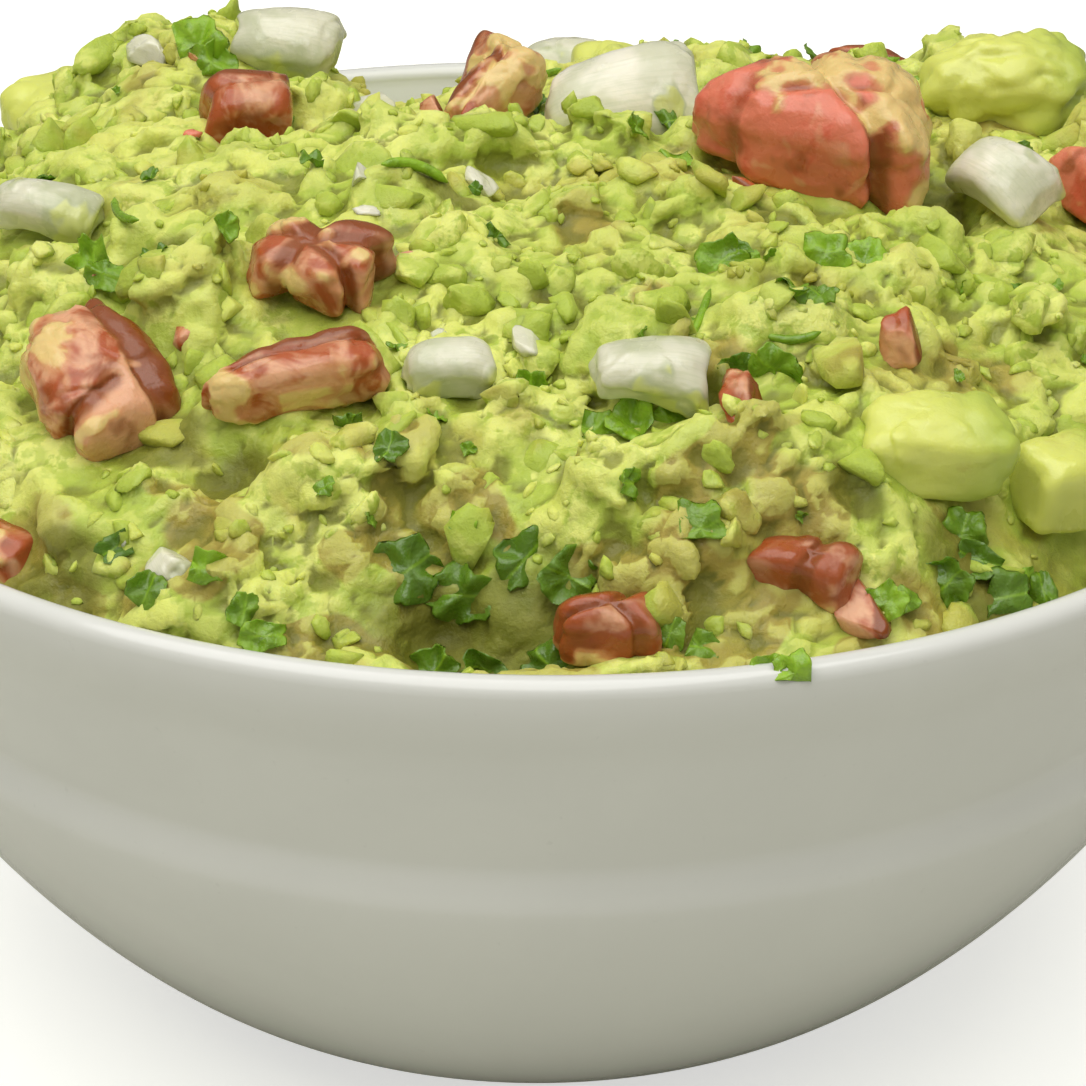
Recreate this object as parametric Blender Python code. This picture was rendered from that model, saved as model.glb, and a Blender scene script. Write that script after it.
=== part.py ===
"""Guacamole heaped in a white turned bowl.

The bowl is a turned shell with a rolled lip, a flared upper band, a soft ridge below it and a foot
ring. The heap fills it and rises above the rim. Tomato, onion and avocado pieces sit half sunk in
pockets of the heap. Metres, +Z up; the origin is the centre of the foot ring's flat underside and
-Y is the front.
"""

import math

import bpy
import numpy as np
from mathutils import Euler, Vector

MM = 0.001

# Bowl, in millimetres.
RIM_RADIUS = 75.0
BOWL_HEIGHT = 66.8
LIP_RADIUS = 1.4
WALL = 3.1
RIDGE_RADIUS = 68.2
RIDGE_DROP = 23.6
RIDGE_STEP = 0.4
BELLY_RADIUS = 33.0
BELLY_DROP = 64.6
FOOT_OUTER = 31.0
FOOT_INNER = 27.4
FOOT_ROUND = 0.6
FOOT_RECESS = 1.6
SEGMENTS = 48
LIP_STEPS = 5
BELLY_STEPS = 6
# How far in and down the belly's curve heads from the ridge, and out and up it comes in at the foot.
BELLY_LEAVES = (1.2, 11.0)
BELLY_ARRIVES = (13.0, 0.9)

# Heap, in millimetres above the rim.
DOME_HEIGHT = 17.5
DOME_RADIUS = 72.0
DOME_FLATNESS = 3.4
DOME_SHOULDER = 0.85
EDGE_LEVEL = -0.5
EDGE_BAND = 10.0
HEAP_RINGS = 10
GAP = 0.3

# Slow unevenness of the heap: its height, then turn in radians per millimetre and phase of each wave.
RIPPLE_HEIGHT = 0.8
RIPPLE_ACROSS = (0.36, 1.1)
RIPPLE_ALONG = (0.31, 0.4)
RIPPLE_SLANT = (0.21, -0.43)
RIPPLE_SLANT_SHARE = 0.6

# Swells and hollows of the heap: x, y, rise and spread in millimetres.
SWELLS = (
    (-35, 33, 6.0, 11),
    (-56, 24, -2.0, 9),
    (-15, 42, -9.0, 10),
    (-15, 60, -4.0, 8),
    (-15, 24, -2.0, 9),
    (10, 50, -4.0, 12),
    (27, 36, -1.0, 10),
    (48, 28, 6.0, 12),
    (20, -5, 1.5, 14),
    (-22, -20, 2.0, 13),
    (-3, -54, -4.0, 8),
    (24, -42, 2.0, 10),
    (-48, -30, -1.0, 12),
    (50, -38, -2.5, 10),
    (60, 10, 2.5, 9),
)

# Where the heap's edge on the wall lies higher or lower: direction in degrees, rise and width.
EDGE_DIPS = (
    (104, -4.5, 14),
    (-42, -3.0, 16),
    (-95, 1.3, 30),
)

# Pieces: name, x, y, long, wide, deep, turn, roll, pitch and how far the middle stands out.
# Lengths are millimetres and turns are degrees.
TOMATO = (
    ("tomato_1", -28.5, 6.9, 9.5, 8, 8, 12, 20, 8, 0.5),
    ("tomato_2", -18.8, -31.5, 13, 9.5, 6, -12, 12, 4, 0.4),
    ("tomato_3", -37.5, -41.5, 16, 12, 7, -55, 8, 24, 0.2),
    ("tomato_4", -19.9, -46.4, 16.2, 5.5, 6, 14, 18, -10, 0.3),
    ("tomato_5", -4.6, 8.4, 12.5, 5, 7, 42, 14, -22, 0.6),
    ("tomato_6", 26.0, -3.5, 23, 14, 12, -8, 12, 3, 1.2),
    ("tomato_7", 54.6, -2.0, 14, 6.5, 8, -38, -10, 10, 1.0),
    ("tomato_8", 6.1, -66.8, 9.2, 5, 6, 4, 10, 3, -4.4),
    ("tomato_9", 21.9, -62.0, 10, 5, 5, -10, 16, 6, -2.0),
    ("tomato_10", -44.8, -52.0, 8.5, 5.5, 5.5, -32, 12, 0, -4.2),
    ("tomato_11", -58.5, -22.0, 12, 8, 7, 72, 10, 8, 0.3),
    ("tomato_12", 57.5, -27.0, 11.5, 8, 7, 58, -8, 6, 0.3),
    ("tomato_13", -30.0, 49.0, 13, 9, 7, 28, 10, -6, -0.8),
    ("tomato_14", 35.0, 53.0, 12, 8.5, 7, -34, 8, 8, -1.0),
    ("tomato_15", -5.6, 24.0, 10.5, 6.2, 3.8, 12, 6, -66, 1.0),
)
ONION = (
    ("onion_1", 8.4, 8.4, 15.5, 11, 4.5, 10, 38, -8, 1.2),
    ("onion_2", 43.4, -4.4, 12, 8, 4.5, -50, 30, 6, 0.9),
    ("onion_3", 9.6, -47.3, 10.5, 7, 4, 6, 24, 5, 0.4),
    ("onion_4", -25.9, 26.5, 12, 8, 4, -8, 36, 4, 1.0),
    ("onion_5", -45.0, -12.1, 11, 6, 4, -14, 22, 8, 0.3),
    ("onion_6", -7.4, -44.2, 8, 5.5, 4, 8, 24, 2, 0.2),
    ("onion_7", -60.5, 10.5, 12, 8, 4.5, 66, 20, 4, 0.3),
    ("onion_8", 61.5, 17.0, 12.5, 8, 4.5, 84, -16, 6, 0.3),
    ("onion_9", 4.0, 58.0, 12, 8, 4.5, 6, -22, 6, -1.4),
)
AVOCADO = (
    ("avocado_1", 45.8, 15.0, 17, 12, 9, 10, 8, 3, 0.5),
    ("avocado_2", 33.5, -49.0, 14, 9.5, 8, 14, 16, 4, 0.0),
    ("avocado_3", 44.6, -46.0, 10, 8.5, 8, 34, 12, 6, 0.0),
    ("avocado_4", -50.5, 37.0, 14, 10, 8, 48, 8, 6, -1.8),
    ("avocado_5", 8.5, 37.0, 13, 10, 6.5, -20, 6, 4, -2.2),
)

# Shape of each kind: squareness exponent (1 is round), taper, bow of the long way, bow of the wide way.
TOMATO_SHAPE = (0.62, 0.22, 0.10, 0.16)
ONION_SHAPE = (0.60, 0.18, 0.22, 0.42)
AVOCADO_SHAPE = (0.72, 0.10, 0.05, 0.08)
BIG_PIECE = 11.5
BIG_GRID = (10, 6)
SMALL_GRID = (8, 5)
UNEVENNESS = 0.07

GLAZE_WHITE = (0.86, 0.86, 0.82)
MASH_GREEN = (0.53, 0.60, 0.20)
TOMATO_RED = (0.55, 0.07, 0.04)
ONION_WHITE = (0.78, 0.78, 0.66)
AVOCADO_GREEN = (0.66, 0.72, 0.24)


def clear_scene():
    for obj in list(bpy.data.objects):
        bpy.data.objects.remove(obj, do_unlink=True)


def material(name, color, roughness):
    made = bpy.data.materials.new(name)
    made.use_nodes = True
    shader = made.node_tree.nodes["Principled BSDF"]
    shader.inputs["Base Color"].default_value = (*color, 1.0)
    shader.inputs["Roughness"].default_value = roughness
    made.diffuse_color = (*color, 1.0)
    return made


def add_mesh(name, points, faces, finish=None):
    """One object from points in millimetres."""
    mesh = bpy.data.meshes.new(name)
    mesh.from_pydata((np.asarray(points) * MM).tolist(), [], faces)
    mesh.shade_smooth()
    obj = bpy.data.objects.new(name, mesh)
    bpy.context.collection.objects.link(obj)
    if finish:
        mesh.materials.append(finish)
    return obj


def bezier(start, first, second, end, steps):
    """Points of a cubic curve from start to end, both included."""
    t = np.linspace(0.0, 1.0, steps + 1)[:, None]
    a, b, c, d = (np.array(p, float) for p in (start, first, second, end))
    return a * (1 - t) ** 3 + 3 * b * t * (1 - t) ** 2 + 3 * c * t * t * (1 - t) + d * t**3


def outer_wall():
    """Radius and height above the rim, from under the lip to where the belly meets the foot."""
    lean = math.atan2(RIM_RADIUS - RIDGE_RADIUS, RIDGE_DROP - LIP_RADIUS)
    lip_end = (RIM_RADIUS - LIP_RADIUS * (1 - math.cos(lean)), -LIP_RADIUS * (1 + math.sin(lean)))
    body_start = (RIDGE_RADIUS + RIDGE_STEP, -RIDGE_DROP - RIDGE_STEP)
    body_end = (BELLY_RADIUS, -BELLY_DROP)
    body = bezier(
        body_start,
        (body_start[0] - BELLY_LEAVES[0], body_start[1] - BELLY_LEAVES[1]),
        (body_end[0] + BELLY_ARRIVES[0], body_end[1] + BELLY_ARRIVES[1]),
        body_end,
        BELLY_STEPS,
    )
    return np.vstack([lip_end, (RIDGE_RADIUS, -RIDGE_DROP + RIDGE_STEP), body])


def inside_of(wall, distance):
    """The wall's line moved inwards by distance, square to itself."""
    along = np.gradient(wall, axis=0)
    along /= np.linalg.norm(along, axis=1)[:, None]
    return wall + distance * np.stack([along[:, 1], -along[:, 0]], axis=1)


def lip_arc():
    """The rolled lip, from its inner side over the top to its outer side."""
    turns = np.linspace(math.pi, 0.0, LIP_STEPS + 2)[:-1]
    middle = RIM_RADIUS - LIP_RADIUS
    return np.stack([middle + LIP_RADIUS * np.cos(turns), LIP_RADIUS * (np.sin(turns) - 1)], axis=1)


def bowl_profile():
    """The whole section: inside floor, inner wall, lip, outer wall, foot ring and its recess."""
    outer = outer_wall()
    inner = inside_of(outer, WALL)[1:][::-1]
    base = -BOWL_HEIGHT
    foot = [
        (FOOT_OUTER, -BELLY_DROP),
        (FOOT_OUTER, base + FOOT_ROUND),
        (FOOT_OUTER - FOOT_ROUND, base),
        (FOOT_INNER + FOOT_ROUND, base),
        (FOOT_INNER, base + FOOT_ROUND),
        (FOOT_INNER - FOOT_ROUND, base + FOOT_RECESS),
        (0.0, base + FOOT_RECESS),
    ]
    return np.vstack([(0.0, inner[0][1]), inner, lip_arc(), outer, foot])


def make_bowl(finish):
    """The profile turned about the vertical axis by a Screw modifier."""
    section = bowl_profile()
    points = np.stack([section[:, 0], np.zeros(len(section)), section[:, 1] + BOWL_HEIGHT], axis=1)
    mesh = bpy.data.meshes.new("bowl")
    mesh.from_pydata((points * MM).tolist(), [(i, i + 1) for i in range(len(points) - 1)], [])
    mesh.materials.append(finish)
    bowl = bpy.data.objects.new("bowl", mesh)
    bpy.context.collection.objects.link(bowl)
    screw = bowl.modifiers.new("turned", "SCREW")
    screw.steps = SEGMENTS
    screw.render_steps = SEGMENTS
    screw.use_merge_vertices = True
    screw.merge_threshold = 0.0001
    screw.use_smooth_shade = True
    return bowl


def edge_level(x, y):
    """Height of the heap's edge above the rim in the direction of x, y."""
    direction = np.degrees(np.arctan2(y, x))
    level = np.full(np.shape(direction), EDGE_LEVEL)
    for at, rise, width in EDGE_DIPS:
        away = (direction - at + 180) % 360 - 180
        level = level + rise * np.exp(-((away / width) ** 2))
    return level


def heap_height(x, y):
    """A flat-topped dome with swells and hollows and a slow unevenness, faded out at the wall."""
    x = np.asarray(x, float)
    y = np.asarray(y, float)
    radius = np.hypot(x, y)
    share = np.clip(radius / DOME_RADIUS, 0, 1)
    edge = edge_level(x, y)
    height = edge + (DOME_HEIGHT - edge) * (1 - share**DOME_FLATNESS) ** DOME_SHOULDER
    fade = np.clip((DOME_RADIUS - radius) / EDGE_BAND, 0, 1)
    for at_x, at_y, rise, spread in SWELLS:
        away = (x - at_x) ** 2 + (y - at_y) ** 2
        height = height + fade * rise * np.exp(-away / (2 * spread**2))
    across = np.sin(RIPPLE_ACROSS[0] * x + RIPPLE_ACROSS[1])
    along = np.sin(RIPPLE_ALONG[0] * y + RIPPLE_ALONG[1])
    slant = np.sin(RIPPLE_SLANT[0] * x + RIPPLE_SLANT[1] * y)
    return height + RIPPLE_HEIGHT * fade * (across * along + RIPPLE_SLANT_SHARE * slant)


def ring_faces(rings, segments):
    """Triangles of stacked rings, closed by a point before the first ring and after the last."""
    step = np.arange(segments)
    after = (step + 1) % segments
    faces = [(0, 1 + b, 1 + a) for a, b in zip(step.tolist(), after.tolist())]
    for ring in range(rings - 1):
        low = 1 + ring * segments
        high = low + segments
        for a, b in zip(step.tolist(), after.tolist()):
            faces.append((low + a, low + b, high + b))
            faces.append((low + a, high + b, high + a))
    last = 1 + (rings - 1) * segments
    end = last + segments
    faces += [(last + a, last + b, end) for a, b in zip(step.tolist(), after.tolist())]
    return faces


def make_heap(finish):
    """Rings from the floor's middle up the wall to the edge, then over the top to its middle."""
    turns = np.arange(SEGMENTS) * 2 * math.pi / SEGMENTS
    cos, sin = np.cos(turns), np.sin(turns)
    wall = inside_of(outer_wall(), WALL + GAP)[1:][::-1]
    rings = [np.stack([r * cos, r * sin, np.full(SEGMENTS, z)], axis=1) for r, z in wall]
    edge = edge_level(cos, sin)
    mouth = (RIM_RADIUS - 2 * LIP_RADIUS, -LIP_RADIUS)
    reach = np.interp(edge, (wall[-1][1], mouth[1]), (wall[-1][0], mouth[0] - 2 * GAP))
    rings.append(np.stack([reach * cos, reach * sin, edge], axis=1))
    for share in np.linspace(1, 0, HEAP_RINGS + 1)[1:-1]:
        x, y = share * reach * cos, share * reach * sin
        rings.append(np.stack([x, y, heap_height(x, y)], axis=1))
    start = [(0, 0, wall[0][1])]
    end = [(0, 0, float(heap_height(0, 0)))]
    points = np.vstack([start, *rings, end]) + (0, 0, BOWL_HEIGHT)
    return add_mesh("guacamole", points, ring_faces(len(rings), SEGMENTS), finish)


def signed_power(value, power):
    return np.sign(value) * np.abs(value) ** power


def piece_points(size, shape, grid, seed, grow=0.0):
    """A rounded box that tapers along its length and bows both ways, with a slow unevenness.

    Rings run from its underside to its top; grow moves the surface outwards for a cutter.
    """
    around, rows = grid
    square, taper, bow_long, bow_wide = shape
    half = np.array(size) / 2
    u = np.arange(around) * 2 * math.pi / around
    v = np.linspace(-math.pi / 2, math.pi / 2, rows + 1)[1:-1]
    u, v = np.meshgrid(u, v)
    x = signed_power(np.cos(v), square) * signed_power(np.cos(u), square)
    y = signed_power(np.cos(v), square) * signed_power(np.sin(u), square)
    z = signed_power(np.sin(v), square)
    points = np.stack([x.ravel(), y.ravel(), z.ravel()], axis=1)
    points = np.vstack([(0, 0, -1), points, (0, 0, 1)])
    swell = np.sin(2.3 * points[:, 0] + seed) * np.sin(2.9 * points[:, 1] + 1.7 * seed + points[:, 2])
    points *= (1 + UNEVENNESS * swell)[:, None]
    points = points * (half + grow)
    share = points / half
    points[:, 1] *= 1 + taper * share[:, 0]
    points[:, 2] *= 1 + 0.5 * taper * share[:, 0]
    points[:, 2] -= half[0] * bow_long * (share[:, 0] ** 2 - 0.4)
    points[:, 2] -= half[1] * bow_wide * (share[:, 1] ** 2 - 0.4)
    return points


def make_piece(row, shape, finish, seed, cutters):
    """One piece sunk in the heap, and the slightly larger cutter of its pocket."""
    name, x, y, long, wide, deep, turn, roll, pitch, rise = row
    grid = BIG_GRID if long > BIG_PIECE else SMALL_GRID
    place = Vector((x, y, BOWL_HEIGHT + float(heap_height(x, y)) + rise)) * MM
    turned = Euler([math.radians(a) for a in (roll, pitch, turn)])
    faces = ring_faces(grid[1] - 1, grid[0])
    size = (long, wide, deep)
    piece = add_mesh(name, piece_points(size, shape, grid, seed), faces, finish)
    pocket = add_mesh(name + "_pocket", piece_points(size, shape, grid, seed, GAP), faces)
    for made in (piece, pocket):
        made.location = place
        made.rotation_euler = turned
    pocket.hide_render = True
    pocket.display_type = "WIRE"
    bpy.context.collection.objects.unlink(pocket)
    cutters.objects.link(pocket)


def main():
    clear_scene()
    glaze = material("white_glaze", GLAZE_WHITE, 0.15)
    mash = material("avocado_mash", MASH_GREEN, 0.5)
    red = material("tomato_flesh", TOMATO_RED, 0.3)
    white = material("onion_flesh", ONION_WHITE, 0.3)
    green = material("avocado_flesh", AVOCADO_GREEN, 0.4)

    make_bowl(glaze)
    heap = make_heap(mash)
    cutters = bpy.data.collections.new("pockets")
    bpy.context.scene.collection.children.link(cutters)
    groups = ((TOMATO, TOMATO_SHAPE, red), (ONION, ONION_SHAPE, white), (AVOCADO, AVOCADO_SHAPE, green))
    seed = 0
    for rows, shape, finish in groups:
        for row in rows:
            seed += 1
            make_piece(row, shape, finish, seed, cutters)
    pockets = heap.modifiers.new("pockets", "BOOLEAN")
    pockets.operation = "DIFFERENCE"
    pockets.operand_type = "COLLECTION"
    pockets.collection = cutters
    pockets.solver = "EXACT"
    pockets.use_self = True


main()
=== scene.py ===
"""Guacamole heaped in its white bowl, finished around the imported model.

The bowl is a turned glaze, the heap is a relief of crushed avocado with loose lumps, and the tomato,
onion, avocado and coriander lie in and on it. Every surface is worked out from functions of two
parameters, in millimetres above the table, and goes into its mesh in metres. -Y is the front.
"""

import math

import bpy
import numpy as np
from bpy.props import FloatProperty, FloatVectorProperty, IntProperty, PointerProperty
from mathutils import Euler, Matrix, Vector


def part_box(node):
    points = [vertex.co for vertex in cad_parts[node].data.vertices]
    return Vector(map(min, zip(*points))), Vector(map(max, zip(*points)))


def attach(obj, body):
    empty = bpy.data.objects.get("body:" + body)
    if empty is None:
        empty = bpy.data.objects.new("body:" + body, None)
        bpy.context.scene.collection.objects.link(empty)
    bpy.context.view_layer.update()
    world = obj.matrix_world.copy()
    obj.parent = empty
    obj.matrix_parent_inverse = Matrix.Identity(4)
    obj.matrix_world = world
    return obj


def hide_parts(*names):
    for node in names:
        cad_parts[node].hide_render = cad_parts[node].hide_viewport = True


bl_info = {
    "name": "Guacamole Bowl",
    "version": (1, 0, 0),
    "blender": (4, 5, 0),
    "location": "View3D > Sidebar > Guacamole",
    "description": "Builds a heaped bowl of chunky guacamole around its packed model",
    "category": "Add Mesh",
}

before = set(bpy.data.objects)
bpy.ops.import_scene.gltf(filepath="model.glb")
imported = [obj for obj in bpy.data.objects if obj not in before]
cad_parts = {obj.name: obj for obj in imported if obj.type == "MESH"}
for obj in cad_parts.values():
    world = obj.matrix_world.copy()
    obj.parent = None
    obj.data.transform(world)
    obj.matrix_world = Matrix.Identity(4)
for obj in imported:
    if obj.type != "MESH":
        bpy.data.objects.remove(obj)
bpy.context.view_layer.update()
BOWL_LOW, BOWL_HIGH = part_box("bowl")
BODY = "root"

MM = 0.001
RIM_RADIUS = round((BOWL_HIGH.x - BOWL_LOW.x) / 2 / MM)
RIM_LEVEL = BOWL_HIGH.z / MM

# Bowl section in millimetres, heights measured from the rim.
LIP_RADIUS = 1.4
WALL = 3.1
RIDGE_RADIUS = 67.1
RIDGE_DROP = 23.6
RIDGE_STEP = 0.4
RIDGE_REACH = 1.9
RIDGE_LEDGE = 1.05
LIP_REACH = 9.0
BELLY_RADIUS = 33.0
BELLY_DROP = 64.6
BELLY_LEAVES = (1.2, 11.0)
BELLY_ARRIVES = (13.0, 0.9)
FOOT_OUTER = 31.0
FOOT_INNER = 27.4
FOOT_ROUND = 0.6
FOOT_RECESS = 1.6

# Heap in millimetres above the rim.
DOME_RADIUS = 72.0
MASH_DEPTH = 7.5
DOME_FLATNESS = 3.4
DOME_SHOULDER = 0.85
EDGE_LEVEL = -0.5
EDGE_BAND = 10.0
# How far a bed reaches in front of its piece, and how deep it is, by kind of piece.
BEDS = {"tomato": (1.6, 1.2), "onion": (1.6, 0.9), "avocado": (0.0, 0.3)}
SWELLS = (
    (-35, 33, 6.0, 11),
    (-56, 24, -2.0, 9),
    (-15, 42, -9.0, 10),
    (-15, 60, -4.0, 8),
    (-15, 24, -2.0, 9),
    (10, 50, -4.0, 12),
    (27, 36, -1.0, 10),
    (48, 28, 6.0, 12),
    (20, -5, 1.5, 14),
    (-22, -20, 2.0, 13),
    (-3, -54, -4.0, 8),
    (24, -42, 2.0, 10),
    (-48, -30, -1.0, 12),
    (50, -38, -2.5, 10),
    (60, 10, 2.5, 9),
)
EDGE_DIPS = (
    (104, -4.5, 14),
    (-42, -3.0, 16),
    (-95, 1.3, 30),
)

# Gaps, ledges and mounds of the mash: x, y, rise, spread across, spread along, turn in degrees.
FEATURES = (
    (-5, -64, -8.0, 8.0, 3.6, 0),
    (-2.5, -68, -2.0, 5.0, 2.0, 0),
    (-25.5, -51, -3.5, 3.0, 2.0, 0),
    (-18, -69, -2.5, 2.4, 1.8, 0),
    (-34.7, -61.8, -2.0, 4.0, 2.4, 20),
    (-33.7, -24, -3.5, 3.4, 1.6, -10),
    (-19, -39.5, -2.0, 3.2, 1.6, 0),
    (37.5, -4, -7.5, 2.4, 4.5, 0),
    (5, -44, -2.0, 3.4, 1.6, 0),
    (14.5, -46, -2.5, 2.4, 1.8, 0),
    (35.4, -56.5, -3.0, 3.0, 4.0, 0),
    (12, -68, -1.5, 4.0, 2.0, 0),
    (47, -51, -4.5, 9.0, 4.5, 43),
    (-15, 52, -1.5, 9.0, 9.0, 0),
    (-12, 33, -1.5, 5.0, 6.0, 0),
    (-44.8, 6, 1.8, 6.5, 4.0, 10),
    (-17.7, -3, 1.6, 5.0, 4.5, 0),
    (-6.7, -28.5, 1.8, 6.5, 4.0, 0),
    (-41.3, -45, 2.0, 4.0, 3.4, 0),
    (-17.8, -50.5, 2.4, 6.6, 4.2, 12),
    (-1.5, -52, 1.8, 5.5, 3.4, -8),
    (7.0, -58.5, 2.6, 7.2, 3.2, 10),
    (-28, -31, 1.8, 3.2, 3.6, 0),
    (20, -54, 2.4, 6.0, 3.0, 0),
    (30, -56, 2.6, 4.5, 2.6, 0),
    (41, -54, 1.6, 3.0, 2.6, 30),
    (46, 7, 1.8, 7.0, 2.6, 0),
    (-27.2, -65, 2.0, 3.4, 2.0, 0),
    (36, -23, 2.2, 3.2, 2.8, 0),
    (20.5, -27, 1.5, 2.4, 2.4, 0),
    (9, -70.5, 1.2, 3.6, 1.4, 0),
)

# Places kept free of lumps and loose things: x, y, half widths across and along.
CLEARINGS = (
    (-15, 54, 12, 14),
    (-5, -64, 10, 4.5),
    (50, -52, 10, 9),
    (37.5, -4, 3, 5),
    (-33.7, -24, 4, 3),
)

# Shaded gaps between the pieces: x, y, half widths across and along.
DARKENED = (
    (-5.0, -64.5, 7.5, 3.4),
    (37.5, -4.0, 2.6, 4.6),
    (-31.5, -47.5, 3.0, 2.6),
    (-33.7, -24.0, 3.4, 1.8),
    (36.0, -56.5, 3.4, 3.4),
    (-41.0, -59.0, 5.0, 2.6),
    (-19.5, -40.0, 3.0, 1.6),
    (-24.5, -51.5, 2.4, 2.0),
    (14.5, -46.0, 2.4, 1.6),
    (26.0, -56.0, 2.0, 1.6),
    (2.0, -34.0, 2.4, 1.2),
    (-8.0, -17.0, 2.6, 1.2),
    (22.0, -17.0, 2.2, 1.2),
)

# Browned places: x, y, half widths across and along.
BROWNED = (
    (4.7, -20.3, 3.0, 2.0),
    (14.9, -42.2, 2.8, 2.2),
    (10.0, -33.1, 1.6, 1.5),
    (40.8, -32.3, 2.6, 1.8),
    (-11.9, -52.7, 3.4, 2.0),
    (19.1, -58.3, 1.4, 2.0),
    (22.4, -58.3, 1.6, 1.8),
    (12.5, -67.7, 4.2, 1.4),
    (-15.9, -70.2, 2.4, 1.2),
    (10.2, -64.1, 5.6, 1.8),
    (32.2, -61.9, 2.8, 2.0),
    (-30.1, -61.7, 3.0, 1.4),
    (-41.4, -56.5, 2.6, 1.6),
    (-28.2, -57.4, 1.8, 1.6),
    (16.9, -69.3, 3.4, 1.0),
    (45.9, 11.1, 4.2, 1.8),
    (-20.0, 34.0, 3.0, 2.0),
    (30.0, 44.0, 3.4, 2.0),
    (-52.0, 18.0, 2.4, 3.0),
    (8.0, 62.0, 4.0, 1.6),
    (56.0, 26.0, 2.0, 3.2),
)

# Pieces of the model: turn, roll and pitch in degrees, then long, wide and deep in millimetres.
TOMATO = {
    "tomato_1": (12, 20, 8, 9.5, 8, 8),
    "tomato_2": (-12, 12, 4, 13, 9.5, 6),
    "tomato_3": (-55, 8, 24, 16, 12, 7),
    "tomato_4": (14, 18, -10, 16.2, 5.5, 6),
    "tomato_5": (42, 14, -22, 12.5, 5, 7),
    "tomato_6": (-8, 12, 3, 23, 14, 12),
    "tomato_7": (-38, -10, 10, 14, 6.5, 8),
    "tomato_8": (4, 10, 3, 9.2, 5, 6),
    "tomato_9": (-10, 16, 6, 10, 5, 5),
    "tomato_10": (-32, 12, 0, 8.5, 5.5, 5.5),
    "tomato_11": (72, 10, 8, 12, 8, 7),
    "tomato_12": (58, -8, 6, 11.5, 8, 7),
    "tomato_13": (28, 10, -6, 13, 9, 7),
    "tomato_14": (-34, 8, 8, 12, 8.5, 7),
    "tomato_15": (12, 6, -66, 10.5, 6.2, 3.8),
}
ONION = {
    "onion_1": (10, 38, -8, 15.5, 11, 4.5),
    "onion_2": (-50, 30, 6, 12, 8, 4.5),
    "onion_3": (6, 24, 5, 10.5, 7, 4),
    "onion_4": (-8, 36, 4, 12, 8, 4),
    "onion_5": (-14, 22, 8, 11, 6, 4),
    "onion_6": (8, 24, 2, 8, 5.5, 4),
    "onion_7": (66, 20, 4, 12, 8, 4.5),
    "onion_8": (84, -16, 6, 12.5, 8, 4.5),
    "onion_9": (6, -22, 6, 12, 8, 4.5),
}
AVOCADO = {
    "avocado_1": (10, 8, 3, 17, 12, 9),
    "avocado_2": (14, 16, 4, 14, 9.5, 8),
    "avocado_3": (34, 12, 6, 10, 8.5, 8),
    "avocado_4": (48, 8, 6, 14, 10, 8),
    "avocado_5": (-20, 6, 4, 13, 10, 6.5),
}
# Squareness (1 is round), taper, bow of the long way and of the wide way, roughness of the surface.
TOMATO_SHAPE = (0.50, 0.22, 0.10, 0.16, 0.10)
ONION_SHAPE = (0.38, 0.18, 0.22, 0.42, 0.08)
AVOCADO_SHAPE = (0.62, 0.10, 0.05, 0.08, 0.09)
SHAPES = {
    "tomato_6": (0.74, 0.22, 0.10, 0.16, 0.07),
    "tomato_1": (0.42, 0.10, 0.10, 0.16, 0.08),
    "onion_2": (0.36, 0.10, 0.60, 0.30, 0.06),
    "avocado_1": (0.70, 0.16, 0.05, 0.10, 0.14),
    "avocado_2": (0.46, 0.16, 0.05, 0.10, 0.10),
    "avocado_3": (0.36, 0.10, 0.05, 0.08, 0.07),
}

# How pale the flesh of a piece of tomato or onion is, from 0 to 1.
PALENESS = {
    "tomato_1": 0.2,
    "tomato_2": 0.3,
    "tomato_3": 0.7,
    "tomato_4": 0.55,
    "tomato_5": 0.7,
    "tomato_6": 1.0,
    "tomato_7": 0.95,
    "tomato_8": 0.05,
    "tomato_9": 0.0,
    "onion_1": 1.0,
    "onion_2": 1.0,
}
PALE = 0.15

# Grooves in the pieces, in shares of their half sizes: x, y, direction in degrees, half width, depth.
GROOVES = {
    "tomato_1": ((0.1, 0.2, 10, 0.16, 0.10), (0.1, 0.2, 190, 0.16, 0.10)),
    "tomato_2": (
        (-0.25, 0.0, 75, 0.20, 0.34),
        (-0.25, 0.0, 150, 0.18, 0.20),
        (-0.25, 0.0, 260, 0.18, 0.26),
        (-0.25, 0.0, 10, 0.20, 0.30),
        (-0.25, 0.0, 320, 0.16, 0.26),
    ),
    "tomato_3": ((0.0, 0.45, 0, 0.16, 0.16), (0.0, 0.45, 180, 0.16, 0.16), (0.55, 0.1, 280, 0.14, 0.18)),
    "tomato_4": ((-0.2, 0.2, 5, 0.16, 0.14), (-0.2, 0.2, 185, 0.16, 0.14)),
    "tomato_5": ((0.0, 0.1, 20, 0.14, 0.2), (0.0, 0.1, 200, 0.14, 0.2)),
    "tomato_6": (
        (0.06, -0.05, 110, 0.11, 0.30),
        (0.06, -0.05, 305, 0.11, 0.24),
        (-0.5, 0.1, 250, 0.16, 0.10),
        (-0.35, -0.45, 20, 0.10, 0.12),
    ),
    "tomato_7": ((0.0, 0.0, 0, 0.16, 0.16), (0.0, 0.0, 180, 0.16, 0.16)),
    "tomato_8": ((0.1, 0.0, 60, 0.18, 0.2), (0.1, 0.0, 200, 0.18, 0.2), (0.1, 0.0, 300, 0.16, 0.2)),
    "tomato_9": ((0.25, 0.0, 80, 0.16, 0.3), (0.25, 0.0, 260, 0.16, 0.3)),
    "tomato_11": ((0.0, 0.2, 0, 0.2, 0.2), (0.0, 0.2, 170, 0.2, 0.2)),
    "tomato_13": ((-0.1, 0.0, 70, 0.2, 0.2), (-0.1, 0.0, 200, 0.2, 0.2), (-0.1, 0.0, 320, 0.2, 0.2)),
    "tomato_14": ((0.1, 0.1, 30, 0.2, 0.2), (0.1, 0.1, 190, 0.2, 0.2)),
}
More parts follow.
